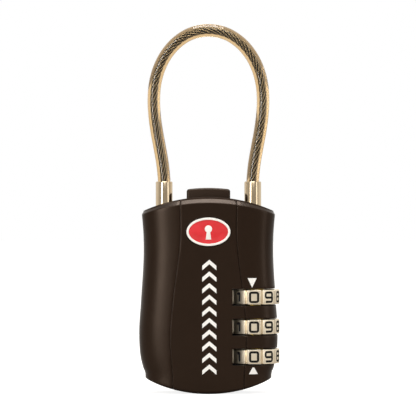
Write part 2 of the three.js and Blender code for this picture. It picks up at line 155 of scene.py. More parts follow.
def select_faces(piece, test):
    """Selects the faces that pass a test, in edit mode."""
    pick(piece)
    bpy.ops.object.mode_set(mode="EDIT")
    bpy.ops.mesh.select_mode(type="FACE")
    bpy.ops.mesh.select_all(action="DESELECT")
    shape = bmesh.from_edit_mesh(piece.data)
    for face in shape.faces:
        if test(face):
            face.select_set(True)
    bmesh.update_edit_mesh(piece.data)


def open_whole(piece):
    """Opens a piece in edit mode, with all of it selected."""
    pick(piece)
    bpy.ops.object.mode_set(mode="EDIT")
    bpy.ops.mesh.select_all(action="SELECT")


def clean_normals(piece, merge=0.002 * MM):
    open_whole(piece)
    bpy.ops.mesh.remove_doubles(threshold=merge)
    bpy.ops.mesh.normals_make_consistent(inside=False)
    bpy.ops.object.mode_set(mode="OBJECT")
    return piece


def mend(piece):
    """Merges slivers that a boolean or a bevel leaves, and closes the pinholes between them."""
    sliver = 0.01 * MM
    pick(piece)
    bpy.ops.object.mode_set(mode="EDIT")
    bpy.ops.mesh.select_mode(type="EDGE")
    bpy.ops.mesh.select_all(action="SELECT")
    bpy.ops.mesh.remove_doubles(threshold=sliver)
    bpy.ops.mesh.dissolve_degenerate(threshold=sliver)
    bpy.ops.mesh.delete_loose()
    bpy.ops.mesh.select_all(action="DESELECT")
    bpy.ops.mesh.select_non_manifold()
    bpy.ops.mesh.fill_holes(sides=8)
    # A face that hangs on by one edge is left over.
    shape = bmesh.from_edit_mesh(piece.data)
    left_over = [face for face in shape.faces if sum(edge.is_boundary for edge in face.edges) > 1]
    bmesh.ops.delete(shape, geom=left_over, context="FACES")
    bmesh.update_edit_mesh(piece.data)
    bpy.ops.object.mode_set(mode="OBJECT")
    return piece


def finish(piece, material):
    """Gives a piece this material and no other."""
    piece.data.materials.clear()
    piece.data.materials.append(material)


def smooth(piece, degrees=35):
    pick(piece)
    bpy.ops.object.shade_smooth_by_angle(angle=math.radians(degrees))
    return piece


# %% Helpers that start a piece or cut it: a block, a bar, a turned shape, and a solid cut by another
def block(low, high, name="block"):
    low, high = Vector(low), Vector(high)
    bpy.ops.mesh.primitive_cube_add(size=1, location=(low + high) / 2)
    piece = bpy.context.active_object
    piece.scale = high - low
    return settle(piece, name)


def bar(radius, start, end, name="bar", sides=64):
    """A round bar from one point to another."""
    start, end = Vector(start), Vector(end)
    turn = Vector((0, 0, 1)).rotation_difference(end - start).to_euler()
    bpy.ops.mesh.primitive_cylinder_add(
        vertices=sides, radius=radius, depth=(end - start).length, location=(start + end) / 2, rotation=turn
    )
    return settle(bpy.context.active_object, name)


def from_points(name, points, edges, faces):
    mesh = bpy.data.meshes.new(name)
    mesh.from_pydata(points, edges, faces)
    piece = bpy.data.objects.new(name, mesh)
    bpy.context.scene.collection.objects.link(piece)
    return piece


def turned(profile, x, name, steps=64):
    """Spins a profile of (radius, height) points about the upright axis at x, as on a lathe."""
    points = [(x + radius, 0, height) for radius, height in profile]
    piece = from_points(name, points, [(i, i + 1) for i in range(len(points) - 1)], [])
    open_whole(piece)
    bpy.ops.mesh.spin(steps=steps, angle=2 * math.pi, center=(x, 0, 0), axis=(0, 0, 1))
    return clean_normals(piece)


def carve(piece, cutter, keep_cutter=False, inks=False):
    """Cuts one solid with another. With inks, the cut faces take the cutter's material."""
    settings = {"material_mode": "TRANSFER"} if inks else {}
    apply_modifier(
        piece, "BOOLEAN", object=cutter, operation="DIFFERENCE", solver="EXACT", use_self=True, **settings
    )
    if not keep_cutter:
        remove(cutter)
    return piece


# %% Read the frame's main sizes
def middle(node):
    low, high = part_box(node)
    return (low + high) / 2


case_low, case_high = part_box("front_shell")
PANEL_FRONT = case_low.y
PARTING = case_high.y
CROWN_TOP = case_high.z
DIAL_AXIS = middle("spindle").x
DIALS = ["dial_1", "dial_2", "dial_3"]
dial_heights = [middle(name).z for name in DIALS]
dial_low, dial_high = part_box("dial_1")
DIAL_RADIUS = (dial_high.x - dial_low.x) / 2
DIAL_HEIGHT = dial_high.z - dial_low.z
SLOT_HEIGHT = DIAL_HEIGHT + 0.5 * MM
window_edges = [z + side * SLOT_HEIGHT / 2 for z in dial_heights for side in (-1, 1)]
print("case front, crown:", round(PANEL_FRONT / MM, 2), round(CROWN_TOP / MM, 2))
print("dial heights:", [round(z / MM, 2) for z in dial_heights])

# %% [markdown]
# ## Colours and nodes
#
# Colours are written as the hex values a painter would pick from a screen. Shaders work in linear light, so
# one function turns them over. Another adds one node to a material with its settings and links. Few real
# surfaces are even, so a soft random pattern moves most sockets a little between two values.

# %% Helpers for materials
def linear(hex_colour):
    values = [int(hex_colour[i : i + 2], 16) / 255 for i in (1, 3, 5)]
    return [v / 12.92 if v <= 0.04045 else ((v + 0.055) / 1.055) ** 2.4 for v in values] + [1.0]


def add_node(tree, kind, inputs=(), to=None, **settings):
    """Adds a node. inputs gives sockets by name or number, each a value or an output to link from. to is a
    socket that the node's first output feeds."""
    node = tree.nodes.new(kind)
    for key, value in settings.items():
        setattr(node, key, value)
    for name, value in dict(inputs).items():
        if isinstance(value, bpy.types.NodeSocket):
            tree.links.new(value, node.inputs[name])
        else:
            node.inputs[name].default_value = value
    if to:
        tree.links.new(node.outputs[0], to)
    return node


def new_material(name, **sockets):
    """A material of one Principled shader. Its sockets are given by their names, with _ for a space."""
    material = bpy.data.materials.new(name)
    material.use_nodes = True
    shader = material.node_tree.nodes["Principled BSDF"]
    for key, value in sockets.items():
        shader.inputs[key.replace("_", " ")].default_value = value
    return material, material.node_tree, shader.inputs


def cloudy(tree, size, stretch=(1, 1, 1), detail=2.0):
    """A soft random pattern whose features are about as large as size, in metres."""
    place = add_node(tree, "ShaderNodeTexCoord").outputs["Object"]
    mapped = add_node(tree, "ShaderNodeMapping", {"Vector": place, "Scale": stretch}).outputs[0]
    inputs = {"Vector": mapped, "Scale": 1 / size, "Detail": detail}
    return add_node(tree, "ShaderNodeTexNoise", inputs).outputs[0]


# A colour Mix node keeps its colours in these sockets.
MIX_FIRST, MIX_SECOND, MIX_RESULT = 6, 7, 2


def vary(tree, socket, pattern, low, high):
    """Lets a pattern move a shader's socket between two numbers, or two hex colours."""
    if isinstance(low, str):
        colours = {0: pattern, MIX_FIRST: linear(low), MIX_SECOND: linear(high)}
        mix = add_node(tree, "ShaderNodeMix", colours, data_type="RGBA")
        tree.links.new(mix.outputs[MIX_RESULT], socket)
    else:
        add_node(tree, "ShaderNodeMapRange", {"Value": pattern, "To Min": low, "To Max": high}, to=socket)


# %% [markdown]
# ## Finishes
#
# The case is zinc, cast in a die and coated. A stoved coat of this kind levels to a satin film with a faint
# orange peel, and it is dark enough that all one sees of it is what it reflects. The push button is moulded
# ABS in the same colour. It is a little rougher, because the mould was spark-eroded.

# %% Coat and button
# The brown pigment warms what the coat and the plastic reflect.
GLOSS = {"Specular_IOR_Level": 0.32, "Specular_Tint": linear("#ffe2cb")}


def case_coat():
    material, tree, sockets = new_material("satin_stoved_coat", IOR=1.5, **GLOSS)
    vary(tree, sockets["Base Color"], cloudy(tree, 6 * MM), "#170b04", "#1d1007")
    vary(tree, sockets["Roughness"], cloudy(tree, 1.5 * MM), 0.26, 0.34)
    # Orange peel: waves about 0.35 mm apart.
    peel = {"Height": cloudy(tree, 0.35 * MM, detail=1.0), "Distance": 0.006 * MM, "Strength": 0.5}
    add_node(tree, "ShaderNodeBump", peel, to=sockets["Normal"])
    return material


def moulded_abs():
    material, tree, sockets = new_material("spark_eroded_abs", IOR=1.53, **GLOSS)
    vary(tree, sockets["Base Color"], cloudy(tree, 3 * MM), "#190d06", "#201309")
    vary(tree, sockets["Roughness"], cloudy(tree, 0.8 * MM), 0.36, 0.5)
    # Spark erosion leaves grit of about 0.1 mm.
    grit = {"Height": cloudy(tree, 0.1 * MM), "Distance": 0.006 * MM, "Strength": 0.6}
    add_node(tree, "ShaderNodeBump", grit, to=sockets["Normal"])
    return material


COAT = case_coat()
ABS = moulded_abs()

# %% [markdown]
# The dials and ferrules are turned or cast parts, plated with nickel, which is a warmer and darker white than
# chrome. The dials were tumbled before plating, so they are satin. The ferrules were polished. A few fine
# marks round the axis of each are left from turning.

# %% Plated and plain metals
def plated(name, light, dark, rough_low, rough_high, marks):
    """Plating on a part turned about an upright axis. marks is the distance between turning marks."""
    # Real marks lie closer than a tenth of a millimetre. These are coarser, so they show as a faint grain.
    material, tree, sockets = new_material(name, Metallic=1.0)
    vary(tree, sockets["Base Color"], cloudy(tree, 1.8 * MM), light, dark)
    rings = cloudy(tree, marks, stretch=(0.08, 0.08, 1))
    vary(tree, sockets["Roughness"], rings, rough_low, rough_high)
    relief = {"Height": rings, "Distance": 0.002 * MM, "Strength": 0.35}
    add_node(tree, "ShaderNodeBump", relief, to=sockets["Normal"])
    return material


SATIN_NICKEL = plated("satin_nickel_plate", "#f9edd8", "#ebdcc1", 0.32, 0.44, 0.12 * MM)
POLISHED_NICKEL = plated("polished_nickel_plate", "#d2bfa2", "#c0ab8c", 0.1, 0.17, 0.2 * MM)
PLAIN_STEEL = plated("stamped_zinc_plated_steel", "#b9bcc0", "#a2a5a8", 0.3, 0.45, 0.3 * MM)
SPRING_STEEL = plated("oil_tempered_spring_steel", "#85868a", "#6b6c70", 0.25, 0.4, 0.2 * MM)
BLACKED_STEEL = plated("blacked_steel", "#2b241d", "#1d1812", 0.35, 0.5, 0.2 * MM)
BRASS = plated("turned_brass", "#d8b864", "#c3a150", 0.2, 0.34, 0.15 * MM)


def rope_steel():
    """Galvanised wire, grey and a little rough, darkened where the strands meet: partly old grease, partly
    painted shade.
    """
    material, tree, sockets = new_material("galvanised_wire_grease_and_painted_shade", Metallic=1.0, Roughness=0.32)
    deep = add_node(tree, "ShaderNodeAttribute", attribute_name="lie_deep").outputs["Fac"]
    edge = {"Value": deep, "From Min": 0.12, "From Max": 0.62}
    grease_and_painted_shade = add_node(tree, "ShaderNodeMapRange", edge, interpolation_type="SMOOTHSTEP").outputs[0]
    # Deep points are painted near black: partly grease, partly painted shade between the strands.
    vary(tree, sockets["Base Color"], grease_and_painted_shade, "#b3b4b0", "#17130e")
    return material


ROPE_STEEL = rope_steel()

# %% [markdown]
# The inks and enamels are paints. Stove enamel in the badge is thick and glossy, with the red laid in a
# recess and domed by its own surface tension. The white marks on the case are pad printed: thin, matt, and
# slightly uneven at full coverage. The numbers are cut into the dials and wiped full of black ink.

# %% Paints
def paint(name, light, dark, roughness, coat, grain):
    material, tree, sockets = new_material(
        name, Roughness=roughness, Specular_IOR_Level=0.3, Coat_Weight=coat, Coat_Roughness=0.05
    )
    vary(tree, sockets["Base Color"], cloudy(tree, grain), light, dark)
    relief = {"Height": cloudy(tree, grain), "Distance": 0.004 * MM, "Strength": 0.3}
    add_node(tree, "ShaderNodeBump", relief, to=sockets["Normal"])
    return material


WHITE_ENAMEL = paint("white_stove_enamel", "#fdfaf4", "#f3efe7", 0.3, 0.5, 0.9 * MM)
RED_ENAMEL = paint("red_stove_enamel", "#f2323d", "#c81e1c", 0.18, 1.0, 2.5 * MM)
PAD_PRINT = paint("white_pad_print", "#fbf9f4", "#f0ede6", 0.55, 0.0, 0.25 * MM)
INK = paint("black_wiped_ink", "#070403", "#0e0906", 0.7, 0.0, 0.2 * MM)

# %% [markdown]
# The jacket is clear plasticised PVC, which yellows to amber. It is solid right down to the rope, so it bends
# light like a lens and makes the rope look half as thick again. That only works in a render if the jacket is
# one solid with the rope inside it, and not a thin skin.

# %% Clear jacket
def clear_pvc():
    material, tree, sockets = new_material("clear_amber_pvc", IOR=1.47, Transmission_Weight=1.0)
    vary(tree, sockets["Base Color"], cloudy(tree, 7 * MM), "#e8c99c", "#dcb884")
    vary(tree, sockets["Roughness"], cloudy(tree, 3 * MM), 0.02, 0.06)
    # Extrusion leaves slow waves in the surface, 2 or 3 mm long, which make the highlights wander.
    waves = {"Height": cloudy(tree, 2.5 * MM), "Distance": 0.006 * MM, "Strength": 0.3}
    add_node(tree, "ShaderNodeBump", waves, to=sockets["Normal"])
    return material


PVC = clear_pvc()
print("finishes:", len(bpy.data.materials))

# %% [markdown]
# ## The cable
#
# A steel cable keeps the curve it was wound with, so this loop stands up by itself like a pear turned upside
# down. Its route is a smooth line through points listed for one side, mirrored for the other. It starts in
# the fixed ferrule over the dials and ends in the free one.

# %% The cable's route
CABLE_ROUTE = [
    (10.1, 45.0), (10.1, 48.2), (10.45, 52.0), (11.1, 55.8), (11.8, 59.6), (12.3, 63.4), (12.45, 67.0),
    (12.1, 70.7), (11.2, 73.9), (9.6, 77.0), (7.2, 79.75), (4.0, 81.75), (0.0, 82.5),
]


def between(a, b, start, end, t):
    return (a * (end - t) + b * (t - start)) / (end - start)


def smooth_line(points, step):
    """Points about a step apart on the centripetal Catmull-Rom curve through the given ones."""
    points = [np.array(p, float) for p in points]
    points = [2 * points[0] - points[1]] + points + [2 * points[-1] - points[-2]]
    fine = []
    for a, b, c, d in zip(points, points[1:], points[2:], points[3:]):
        k0, k1, k2, k3 = np.cumsum([0] + [np.linalg.norm(q - p) ** 0.5 for p, q in ((a, b), (b, c), (c, d))])
        for t in np.linspace(k1, k2, 24, endpoint=False):
            ab, bc, cd = between(a, b, k0, k1, t), between(b, c, k1, k2, t), between(c, d, k2, k3, t)
            fine.append(between(between(ab, bc, k0, k2, t), between(bc, cd, k1, k3, t), k1, k2, t))
    fine = np.array(fine + [points[-2]])
    along = np.concatenate([[0], np.cumsum(np.linalg.norm(np.diff(fine, axis=0), axis=1))])
    places = np.linspace(0, along[-1], max(2, round(along[-1] / step)) + 1)
    return np.stack([np.interp(places, along, fine[:, i]) for i in range(2)], axis=1)


half_route = [(x * MM, z * MM) for x, z in CABLE_ROUTE]
full_route = half_route + [(-x, z) for x, z in reversed(half_route[:-1])]
cable_line = smooth_line(full_route, 0.4 * MM)
cable_length = float(np.sum(np.linalg.norm(np.diff(cable_line, axis=0), axis=1)))
print("cable length in mm:", round(cable_length / MM, 1), "in", len(cable_line), "steps")

# %% [markdown]
# The jacket is one round tube swept along the route. The rope inside it is six strands laid to the right
# round a seventh, and each strand is again wires laid round one another, the opposite way. The wires in the
# middle never show, so only outer ones are made, round plain hearts. Everything here is a small circle swept
# along a line, so one function does it all. Each point of the rope also keeps how deep it lies, and its
# colour
# is darkened there: partly the grease that gathers between the strands, partly painted shade.

# %% Sweep round sections along lines in an upright plane
def frame_along(line):
    """For each point of a line of (x, z): its place, and the two directions across the line."""
    tangent = np.gradient(line, axis=0)
    tangent /= np.linalg.norm(tangent, axis=1)[:, None]
    place = np.stack([line[:, 0], np.zeros(len(line)), line[:, 1]], axis=1)
    across = np.stack([tangent[:, 1], np.zeros(len(line)), -tangent[:, 0]], axis=1)
    depth = np.tile([0.0, 1.0, 0.0], (len(line), 1))
    return place, across, depth


def sweep(name, centres, across, depth, radius, sides, closed=False):
    """One tube for each list of centres. across and depth span its section, step by step."""
    steps = len(centres[0])
    turn = np.linspace(0, 2 * np.pi, sides, endpoint=False)
    points, faces = [], []
    for number, centre in enumerate(centres):
        ring = across[:, None] * np.cos(turn)[None, :, None] + depth[:, None] * np.sin(turn)[None, :, None]
        points.append((centre[:, None] + radius * ring).reshape(-1, 3))
        first = number * steps * sides
        for i in range(steps if closed else steps - 1):
            here, there = first + i * sides, first + (i + 1) % steps * sides
            faces += [
                (here + j, there + j, there + (j + 1) % sides, here + (j + 1) % sides) for j in range(sides)
            ]
        if not closed:
            faces.append(tuple(range(first, first + sides)))
            faces.append(tuple(reversed(range(first + (steps - 1) * sides, first + steps * sides))))
    piece = from_points(name, np.concatenate(points).tolist(), [], faces)
    return clean_normals(piece, merge=0.0001 * MM)


# %% Jacket
JACKET_RADIUS = 1.45 * MM
place, across, depth = frame_along(cable_line)
jacket = sweep("clear_jacket", [place], across, depth, JACKET_RADIUS, 32)
finish(jacket, PVC)
smooth(jacket, 60)
print("jacket faces:", len(jacket.data.polygons))

# %% Wire rope
ROPE_RADIUS = 0.58 * MM
STRANDS = 6
WIRES = 7
STRAND_LAY = 9.2 * MM
WIRE_LAY = 5.6 * MM
strand_radius = ROPE_RADIUS / 3
# Touching wires in a ring: the half angle between two of them has this sine.
wire_sine = math.sin(math.pi / WIRES)
wire_radius = strand_radius * wire_sine / (1 + wire_sine)
along = np.linspace(0, cable_length, len(cable_line))


def laid(centre, radius, share, lay):
    """A line that winds about another one. share is where it starts, as a share of a turn."""
    turn = (2 * np.pi * (share + along / lay))[:, None]
    return centre + radius * (across * np.cos(turn) + depth * np.sin(turn))


strands = [laid(place, 2 * strand_radius, s / STRANDS, STRAND_LAY) for s in range(STRANDS)]
heart_radius = strand_radius - wire_radius
wires = [laid(strand, heart_radius, w / WIRES, -WIRE_LAY) for strand in strands for w in range(WIRES)]
rope_wires = sweep("rope_wires", wires, across, depth, wire_radius, 6)
rope_hearts = sweep("rope_hearts", [place] + strands, across, depth, heart_radius, 8)
rope = joined([rope_wires, rope_hearts], "wire_rope")

# %% How deep each point of the rope lies
points = np.empty(len(rope.data.vertices) * 3)
rope.data.vertices.foreach_get("co", points)
points = points.reshape(-1, 3)
nearest = np.array([np.argmin(np.sum((place - point) ** 2, axis=1)) for point in points])
tangent = np.cross(across, depth)[nearest]
offset = points - place[nearest]
offset -= tangent * np.sum(offset * tangent, axis=1)[:, None]
lie = np.clip((ROPE_RADIUS - np.linalg.norm(offset, axis=1)) / strand_radius, 0, 1)
# How deep a point lies sets how dark the wire's colour is painted there: grease and painted shade.
rope.data.attributes.new("lie_deep", "FLOAT", "POINT").data.foreach_set("value", lie)
finish(rope, ROPE_STEEL)
smooth(rope, 70)
print("rope faces:", len(rope.data.polygons), "wire diameter in mm:", round(2 * wire_radius / MM, 2))

# %% [markdown]
# ## Ferrules
#
# Each end of the cable is crimped into a turned ferrule. The free one ends in a cone that finds its way into
# the case, and has a neck for the catch. The fixed one has a head that keeps it in. Both are figures of
# revolution, so each is a profile spun about its axis, with a small chamfer at each corner to catch light.

# %% Ferrules
FERRULE_CHAMFER = 0.22 * MM
SOCKET_RADIUS = 1.5 * MM
SOCKET_DEPTH = 3.2 * MM
NECK_RADIUS = 1.25 * MM
NECK_FOOT = 10.5 * MM
NECK_ROOF = 9.1 * MM
CONE = 1.0 * MM
HEAD_THICKNESS = 1.5 * MM
BREAK = 0.1 * MM


def ferrule_mouth(radius, top):
    """The upper end of a ferrule's profile: up to the chamfered rim, and down into the crimped socket."""
    corner = FERRULE_CHAMFER
    return [
        (radius, top - corner), (radius - 0.4 * corner, top - 0.3 * corner), (radius - corner, top),
        (SOCKET_RADIUS + 0.4 * corner, top), (SOCKET_RADIUS, top - 0.5 * corner),
        (SOCKET_RADIUS, top - SOCKET_DEPTH), (0, top - SOCKET_DEPTH),
    ]


low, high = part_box("free_ferrule")
free_axis = (low.x + high.x) / 2
ferrule_radius = (high.x - low.x) / 2
ferrule_top = high.z
neck_low, neck_high = ferrule_top - NECK_FOOT, ferrule_top - NECK_ROOF
free_profile = [
    (0, low.z), (ferrule_radius - CONE, low.z), (ferrule_radius - CONE + 2 * BREAK, low.z + BREAK),
    (ferrule_radius, low.z + CONE), (ferrule_radius, neck_low - BREAK), (ferrule_radius - BREAK, neck_low),
    (NECK_RADIUS, neck_low), (NECK_RADIUS, neck_high), (ferrule_radius - BREAK, neck_high),
    (ferrule_radius, neck_high + BREAK),
]
upper_end = ferrule_mouth(ferrule_radius, ferrule_top)
free_ferrule = turned(free_profile + upper_end, free_axis, "free_end_ferrule")

low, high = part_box("fixed_ferrule")
fixed_axis = (low.x + high.x) / 2
head_radius = (high.x - low.x) / 2
head_top = low.z + HEAD_THICKNESS
fixed_profile = [
    (0, low.z), (head_radius - 2 * BREAK, low.z), (head_radius, low.z + 2 * BREAK),
    (head_radius, head_top - 2 * BREAK), (head_radius - 2 * BREAK, head_top), (ferrule_radius, head_top),
]
fixed_ferrule = turned(fixed_profile + upper_end, fixed_axis, "fixed_end_ferrule")
for piece in (free_ferrule, fixed_ferrule):
    finish(piece, POLISHED_NICKEL)
    smooth(piece, 35)
print("ferrule radius in mm:", round(ferrule_radius / MM, 2))

# %% [markdown]
# ## The case
#
# The case is two castings that meet at the middle plane. Each is a shallow dish: a flat middle panel with a
# fine step and groove along its edges, sides that roll round to the seam, a waist, and an arched crown and
# base with a chamfered edge. A solid like that has no simple start in a cylinder or a block. A flat grid has
# the right layout: its columns run up the case and its rows run across, so each point only has to be set in
# place. Then the rim is extruded back to the seam and filled, which makes the dish a solid.

# %% Outlines of the case
# Half widths at heights, in mm, of the whole case and of its middle panel.
SIDE_OUTLINE = [
    (14.3, -1), (14.5, 4), (15.5, 8.5), (15.78, 14), (15.35, 21), (14.75, 32), (15.1, 42), (15.5, 47),
]
PANEL_OUTLINE = [(7.9, -1), (8.0, 4), (8.5, 13), (7.9, 21), (6.3, 35), (6.5, 47)]
SHOULDER_HALF_WIDTH = 15.05 * MM
CROWN_RISE = 3.05 * MM
BASE_RISE = 3.6 * MM
SIDE_DEPTH = 6.4 * MM
OVAL_POWER = 3.2
# The crown's chamfer, as (distance down, how far it is drawn in) in mm, and the base's, as distances up.
CROWN_CHAMFER = [
    (1.55, 0.0), (1.42, 0.012), (1.3, 0.07), (1.18, 0.18), (0.52, 0.82), (0.43, 0.9), (0.36, 0.93),
    (0.12, 0.95), (0.04, 0.99), (0.0, 1.1),
]
BASE_CHAMFER = [(0.0, 0.75), (0.02, 0.6), (0.08, 0.48), (0.5, 0.06), (0.62, 0.01), (0.75, 0.0)]
# The chamfers fade towards the sides, where this much of them is left.
SIDE_SHARE = 0.45
# No row of points comes closer than this to a dial window's edge, so there is room to round that edge.
ROW_CLEARANCE = 0.3 * MM

side_line = smooth_line([(w * MM, z * MM) for w, z in SIDE_OUTLINE], 0.2 * MM)
panel_line = smooth_line([(w * MM, z * MM) for w, z in PANEL_OUTLINE], 0.2 * MM)


def half_width(z):
    return np.interp(z, side_line[:, 1], side_line[:, 0])


def panel_half_width(z):
    return np.interp(z, panel_line[:, 1], panel_line[:, 0])


def arc_fall(x, rise):
    """How far an arc that rises by rise over the case's half width has fallen at x."""
    radius = (SHOULDER_HALF_WIDTH**2 + rise**2) / (2 * rise)
    return radius - math.sqrt(radius**2 - x**2)


def oval_depth(x, width):
    return SIDE_DEPTH * (1 - min(1.0, x / width) ** OVAL_POWER) ** (1 / OVAL_POWER)


# The step at the panel's edge, from the panel out to the side, in mm: (distance from the crease, depth under
# the panel's face, or under the side's face once past the crease). The panel's columns are in mm too.
STEP_INSIDE = [(-0.16, 0.0), (-0.07, 0.03), (0.0, 0.12)]
STEP_OUTSIDE = [(0.05, 0.14), (0.13, 0.15), (0.2, 0.05), (0.32, 0.0)]
PANEL_COLUMNS = [0.0, 1.2, 2.4, 3.6, 4.7, 5.85]
SIDE_COLUMNS = 26
SIDE_ROWS = 58
# Over these heights the flat rows bend into the arcs of the base and the crown.
BASE_ZONE = 5.5 * MM
CROWN_ZONE = 8.5 * MM


def half_section(z):
    """Points (x, y) of the front skin from the middle to the seam, at one height."""
    width, crease = half_width(z), panel_half_width(z)
    points = [(x * MM, PANEL_FRONT) for x in PANEL_COLUMNS]
    points += [(crease + out * MM, PANEL_FRONT + under * MM) for out, under in STEP_INSIDE]
    for out, under in STEP_OUTSIDE:
        x = crease + out * MM
        points.append((x, -oval_depth(x, width) + under * MM))
    start = math.asin((points[-1][0] / width) ** (OVAL_POWER / 2))
    for i in range(1, SIDE_COLUMNS + 1):
        angle = start + (math.pi / 2 - start) * i / SIDE_COLUMNS
        x = width * math.sin(angle) ** (2 / OVAL_POWER)
        y = min(PARTING, -SIDE_DEPTH * max(0.0, math.cos(angle)) ** (2 / OVAL_POWER))
        points.append((x, y))
    return points


def bend_to_arcs(x, z):
    """The rows lie flat in the middle of the case, and take up the arcs towards the base and the crown."""
    low_share = max(0.0, 1 - z / BASE_ZONE)
    high_share = max(0.0, 1 - (CROWN_TOP - z) / CROWN_ZONE)
    return z + arc_fall(x, BASE_RISE) * low_share - arc_fall(x, CROWN_RISE) * high_share


def rows_of_case():
    """(height, how far the row is drawn in by the rounded edge) from the base to the crown."""
    rows = [(up * MM, drawn_in * MM) for up, drawn_in in BASE_CHAMFER]
    crown = [(CROWN_TOP - down * MM, drawn_in * MM) for down, drawn_in in CROWN_CHAMFER]
    for z in np.linspace(rows[-1][0], crown[0][0], SIDE_ROWS)[1:-1]:
        edge = min(window_edges, key=lambda height: abs(height - z))
        if abs(z - edge) < ROW_CLEARANCE:
            z = edge + math.copysign(ROW_CLEARANCE, z - edge)
        rows.append((z, 0.0))
    return rows + crown


def point_rows():
    rows = []
    for height, drawn_in in rows_of_case():
        half = half_section(height)
        whole = [(-x, y) for x, y in reversed(half[1:])] + half
        shrink = 1 - drawn_in / SIDE_DEPTH
        narrow = 1 - SIDE_SHARE * drawn_in / half_width(height)
        rows.append([(x * narrow, min(PARTING, y * shrink), bend_to_arcs(x, height)) for x, y in whole])
    return np.array(rows)


# %% One half of the case as a solid
def case_half(name):
    rows = point_rows()
    faces_up, faces_across = rows.shape[0] - 1, rows.shape[1] - 1
    bpy.ops.mesh.primitive_grid_add(x_subdivisions=faces_across, y_subdivisions=faces_up, size=1)
    piece = bpy.context.active_object
    piece.data.vertices.foreach_set("co", rows.reshape(-1))
    pick(piece)
    bpy.ops.object.mode_set(mode="EDIT")
    bpy.ops.mesh.select_all(action="DESELECT")
    bpy.ops.mesh.select_mode(type="EDGE")
    bpy.ops.mesh.select_non_manifold()
    bpy.ops.mesh.extrude_edges_move()
    bpy.ops.transform.resize(value=(1, 0, 1), center_override=(0, PARTING, 0))
    bpy.ops.mesh.edge_face_add()
    bpy.ops.object.mode_set(mode="OBJECT")
    settle(piece, name)
    finish(piece, COAT)
    return clean_normals(piece, merge=0.01 * MM)


front_case = case_half("front_case")
size = [round(v / MM, 2) for v in front_case.dimensions]
print("front half:", len(front_case.data.polygons), "faces,", size, "mm")

# %% [markdown]
# ## Slots, bores and hollows
#
# The castings are then cut as a machinist would cut them, with booleans. A cutter carries its own material,
# and the boolean hands it to the faces that it makes. That does two things: the inside of the case gets the
# thin, rougher coat that reaches into a hollow, and the rims are easy to find afterwards, since they are the
# edges where the two materials meet. Bevelled rims matter here. The coat draws back from a sharp corner, and
# it is the rounded one that catches a line of light.

# %% Inside of the case
def thin_coat():
    material, tree, sockets = new_material("thin_coat_inside", Roughness=0.6, IOR=1.5)
    vary(tree, sockets["Base Color"], cloudy(tree, 1 * MM), "#17110c", "#211a14")
    grain = {"Height": cloudy(tree, 0.3 * MM), "Distance": 0.02 * MM, "Strength": 0.7}
    add_node(tree, "ShaderNodeBump", grain, to=sockets["Normal"])
    return material


THIN_COAT = thin_coat()
PLAY = 0.22 * MM

# %% Two shapes of cutter, both centred between the case halves
def room(left, right, half_depth, foot, roof):
    return block((left, -half_depth, foot), (right, half_depth, roof))


def shaft(radius, x, foot, roof, sides=64):
    return bar(radius, (x, 0, foot), (x, 0, roof), sides=sides)


# A cutter that has to come out of the case ends here.
PAST_SIDE = 20 * MM
PAST_FACE = 9 * MM
PAST_CROWN = 50 * MM
PAST_BASE = -1 * MM

# %% Cutters for the dials, their spindle and the ferrules
SLOT_LEFT = DIAL_AXIS - 4.9 * MM
DIAL_PLAY = 0.3 * MM
SLEEVE_ROOM_FOOT = 5.7 * MM
SLEEVE_ROOM_ROOF = 27.9 * MM
SPINDLE_ROOM_RADIUS = 1.9 * MM
SPINDLE_ROOM_FOOT = 27 * MM
SPINDLE_ROOM_ROOF = 31.6 * MM
FREE_BORE_FOOT = 27.9 * MM
HEAD_ROOM_HEIGHT = 1.7 * MM


def dial_cutters():
    cutters = []
    for z in dial_heights:
        floor, roof = z - SLOT_HEIGHT / 2, z + SLOT_HEIGHT / 2
        cutters.append(room(SLOT_LEFT, PAST_SIDE, PAST_FACE, floor, roof))
        cutters.append(shaft(DIAL_RADIUS + DIAL_PLAY, DIAL_AXIS, floor, roof, sides=96))
    flange_low, flange_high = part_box("clutch_sleeve_1")
    sleeve_radius = (flange_high.x - flange_low.x) / 2 + 2 * PLAY
    cutters.append(shaft(sleeve_radius, DIAL_AXIS, SLEEVE_ROOM_FOOT, SLEEVE_ROOM_ROOF))
    cutters.append(shaft(SPINDLE_ROOM_RADIUS, DIAL_AXIS, SPINDLE_ROOM_FOOT, SPINDLE_ROOM_ROOF))
    return cutters


def ferrule_cutters():
    bore = ferrule_radius + PLAY
    head_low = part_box("fixed_ferrule")[0].z
    return [
        shaft(bore, free_axis, FREE_BORE_FOOT, PAST_CROWN),
        shaft(bore, fixed_axis, head_low - PLAY, PAST_CROWN),
        shaft(head_radius + PLAY, fixed_axis, head_low - PLAY, head_low + HEAD_ROOM_HEIGHT),
    ]


# %% Cutters for the button, the gate bar, the catch and the key cylinder
button_low, button_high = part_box("release_button")
BUTTON_LIP = 0.6 * MM
lip_top = button_low.z + 1.2 * MM
cap_x, cap_y = button_high.x - BUTTON_LIP, button_high.y - BUTTON_LIP
key_low, key_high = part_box("key_plug")
KEY_AXIS = (key_low.x + key_high.x) / 2
KEY_RADIUS = (key_high.x - key_low.x) / 2
KEY_SLEEVE_WALL = 1.0 * MM
KEY_TAIL_ROOM_RADIUS = 1.05 * MM
# Half depths of the rooms: for the gate bar's wide head, for its narrow stem and fingers, and for the catch.
GATE_HEAD_DEPTH = 3.75 * MM
GATE_STEM_DEPTH = 0.9 * MM
CATCH_DEPTH = 1.8 * MM


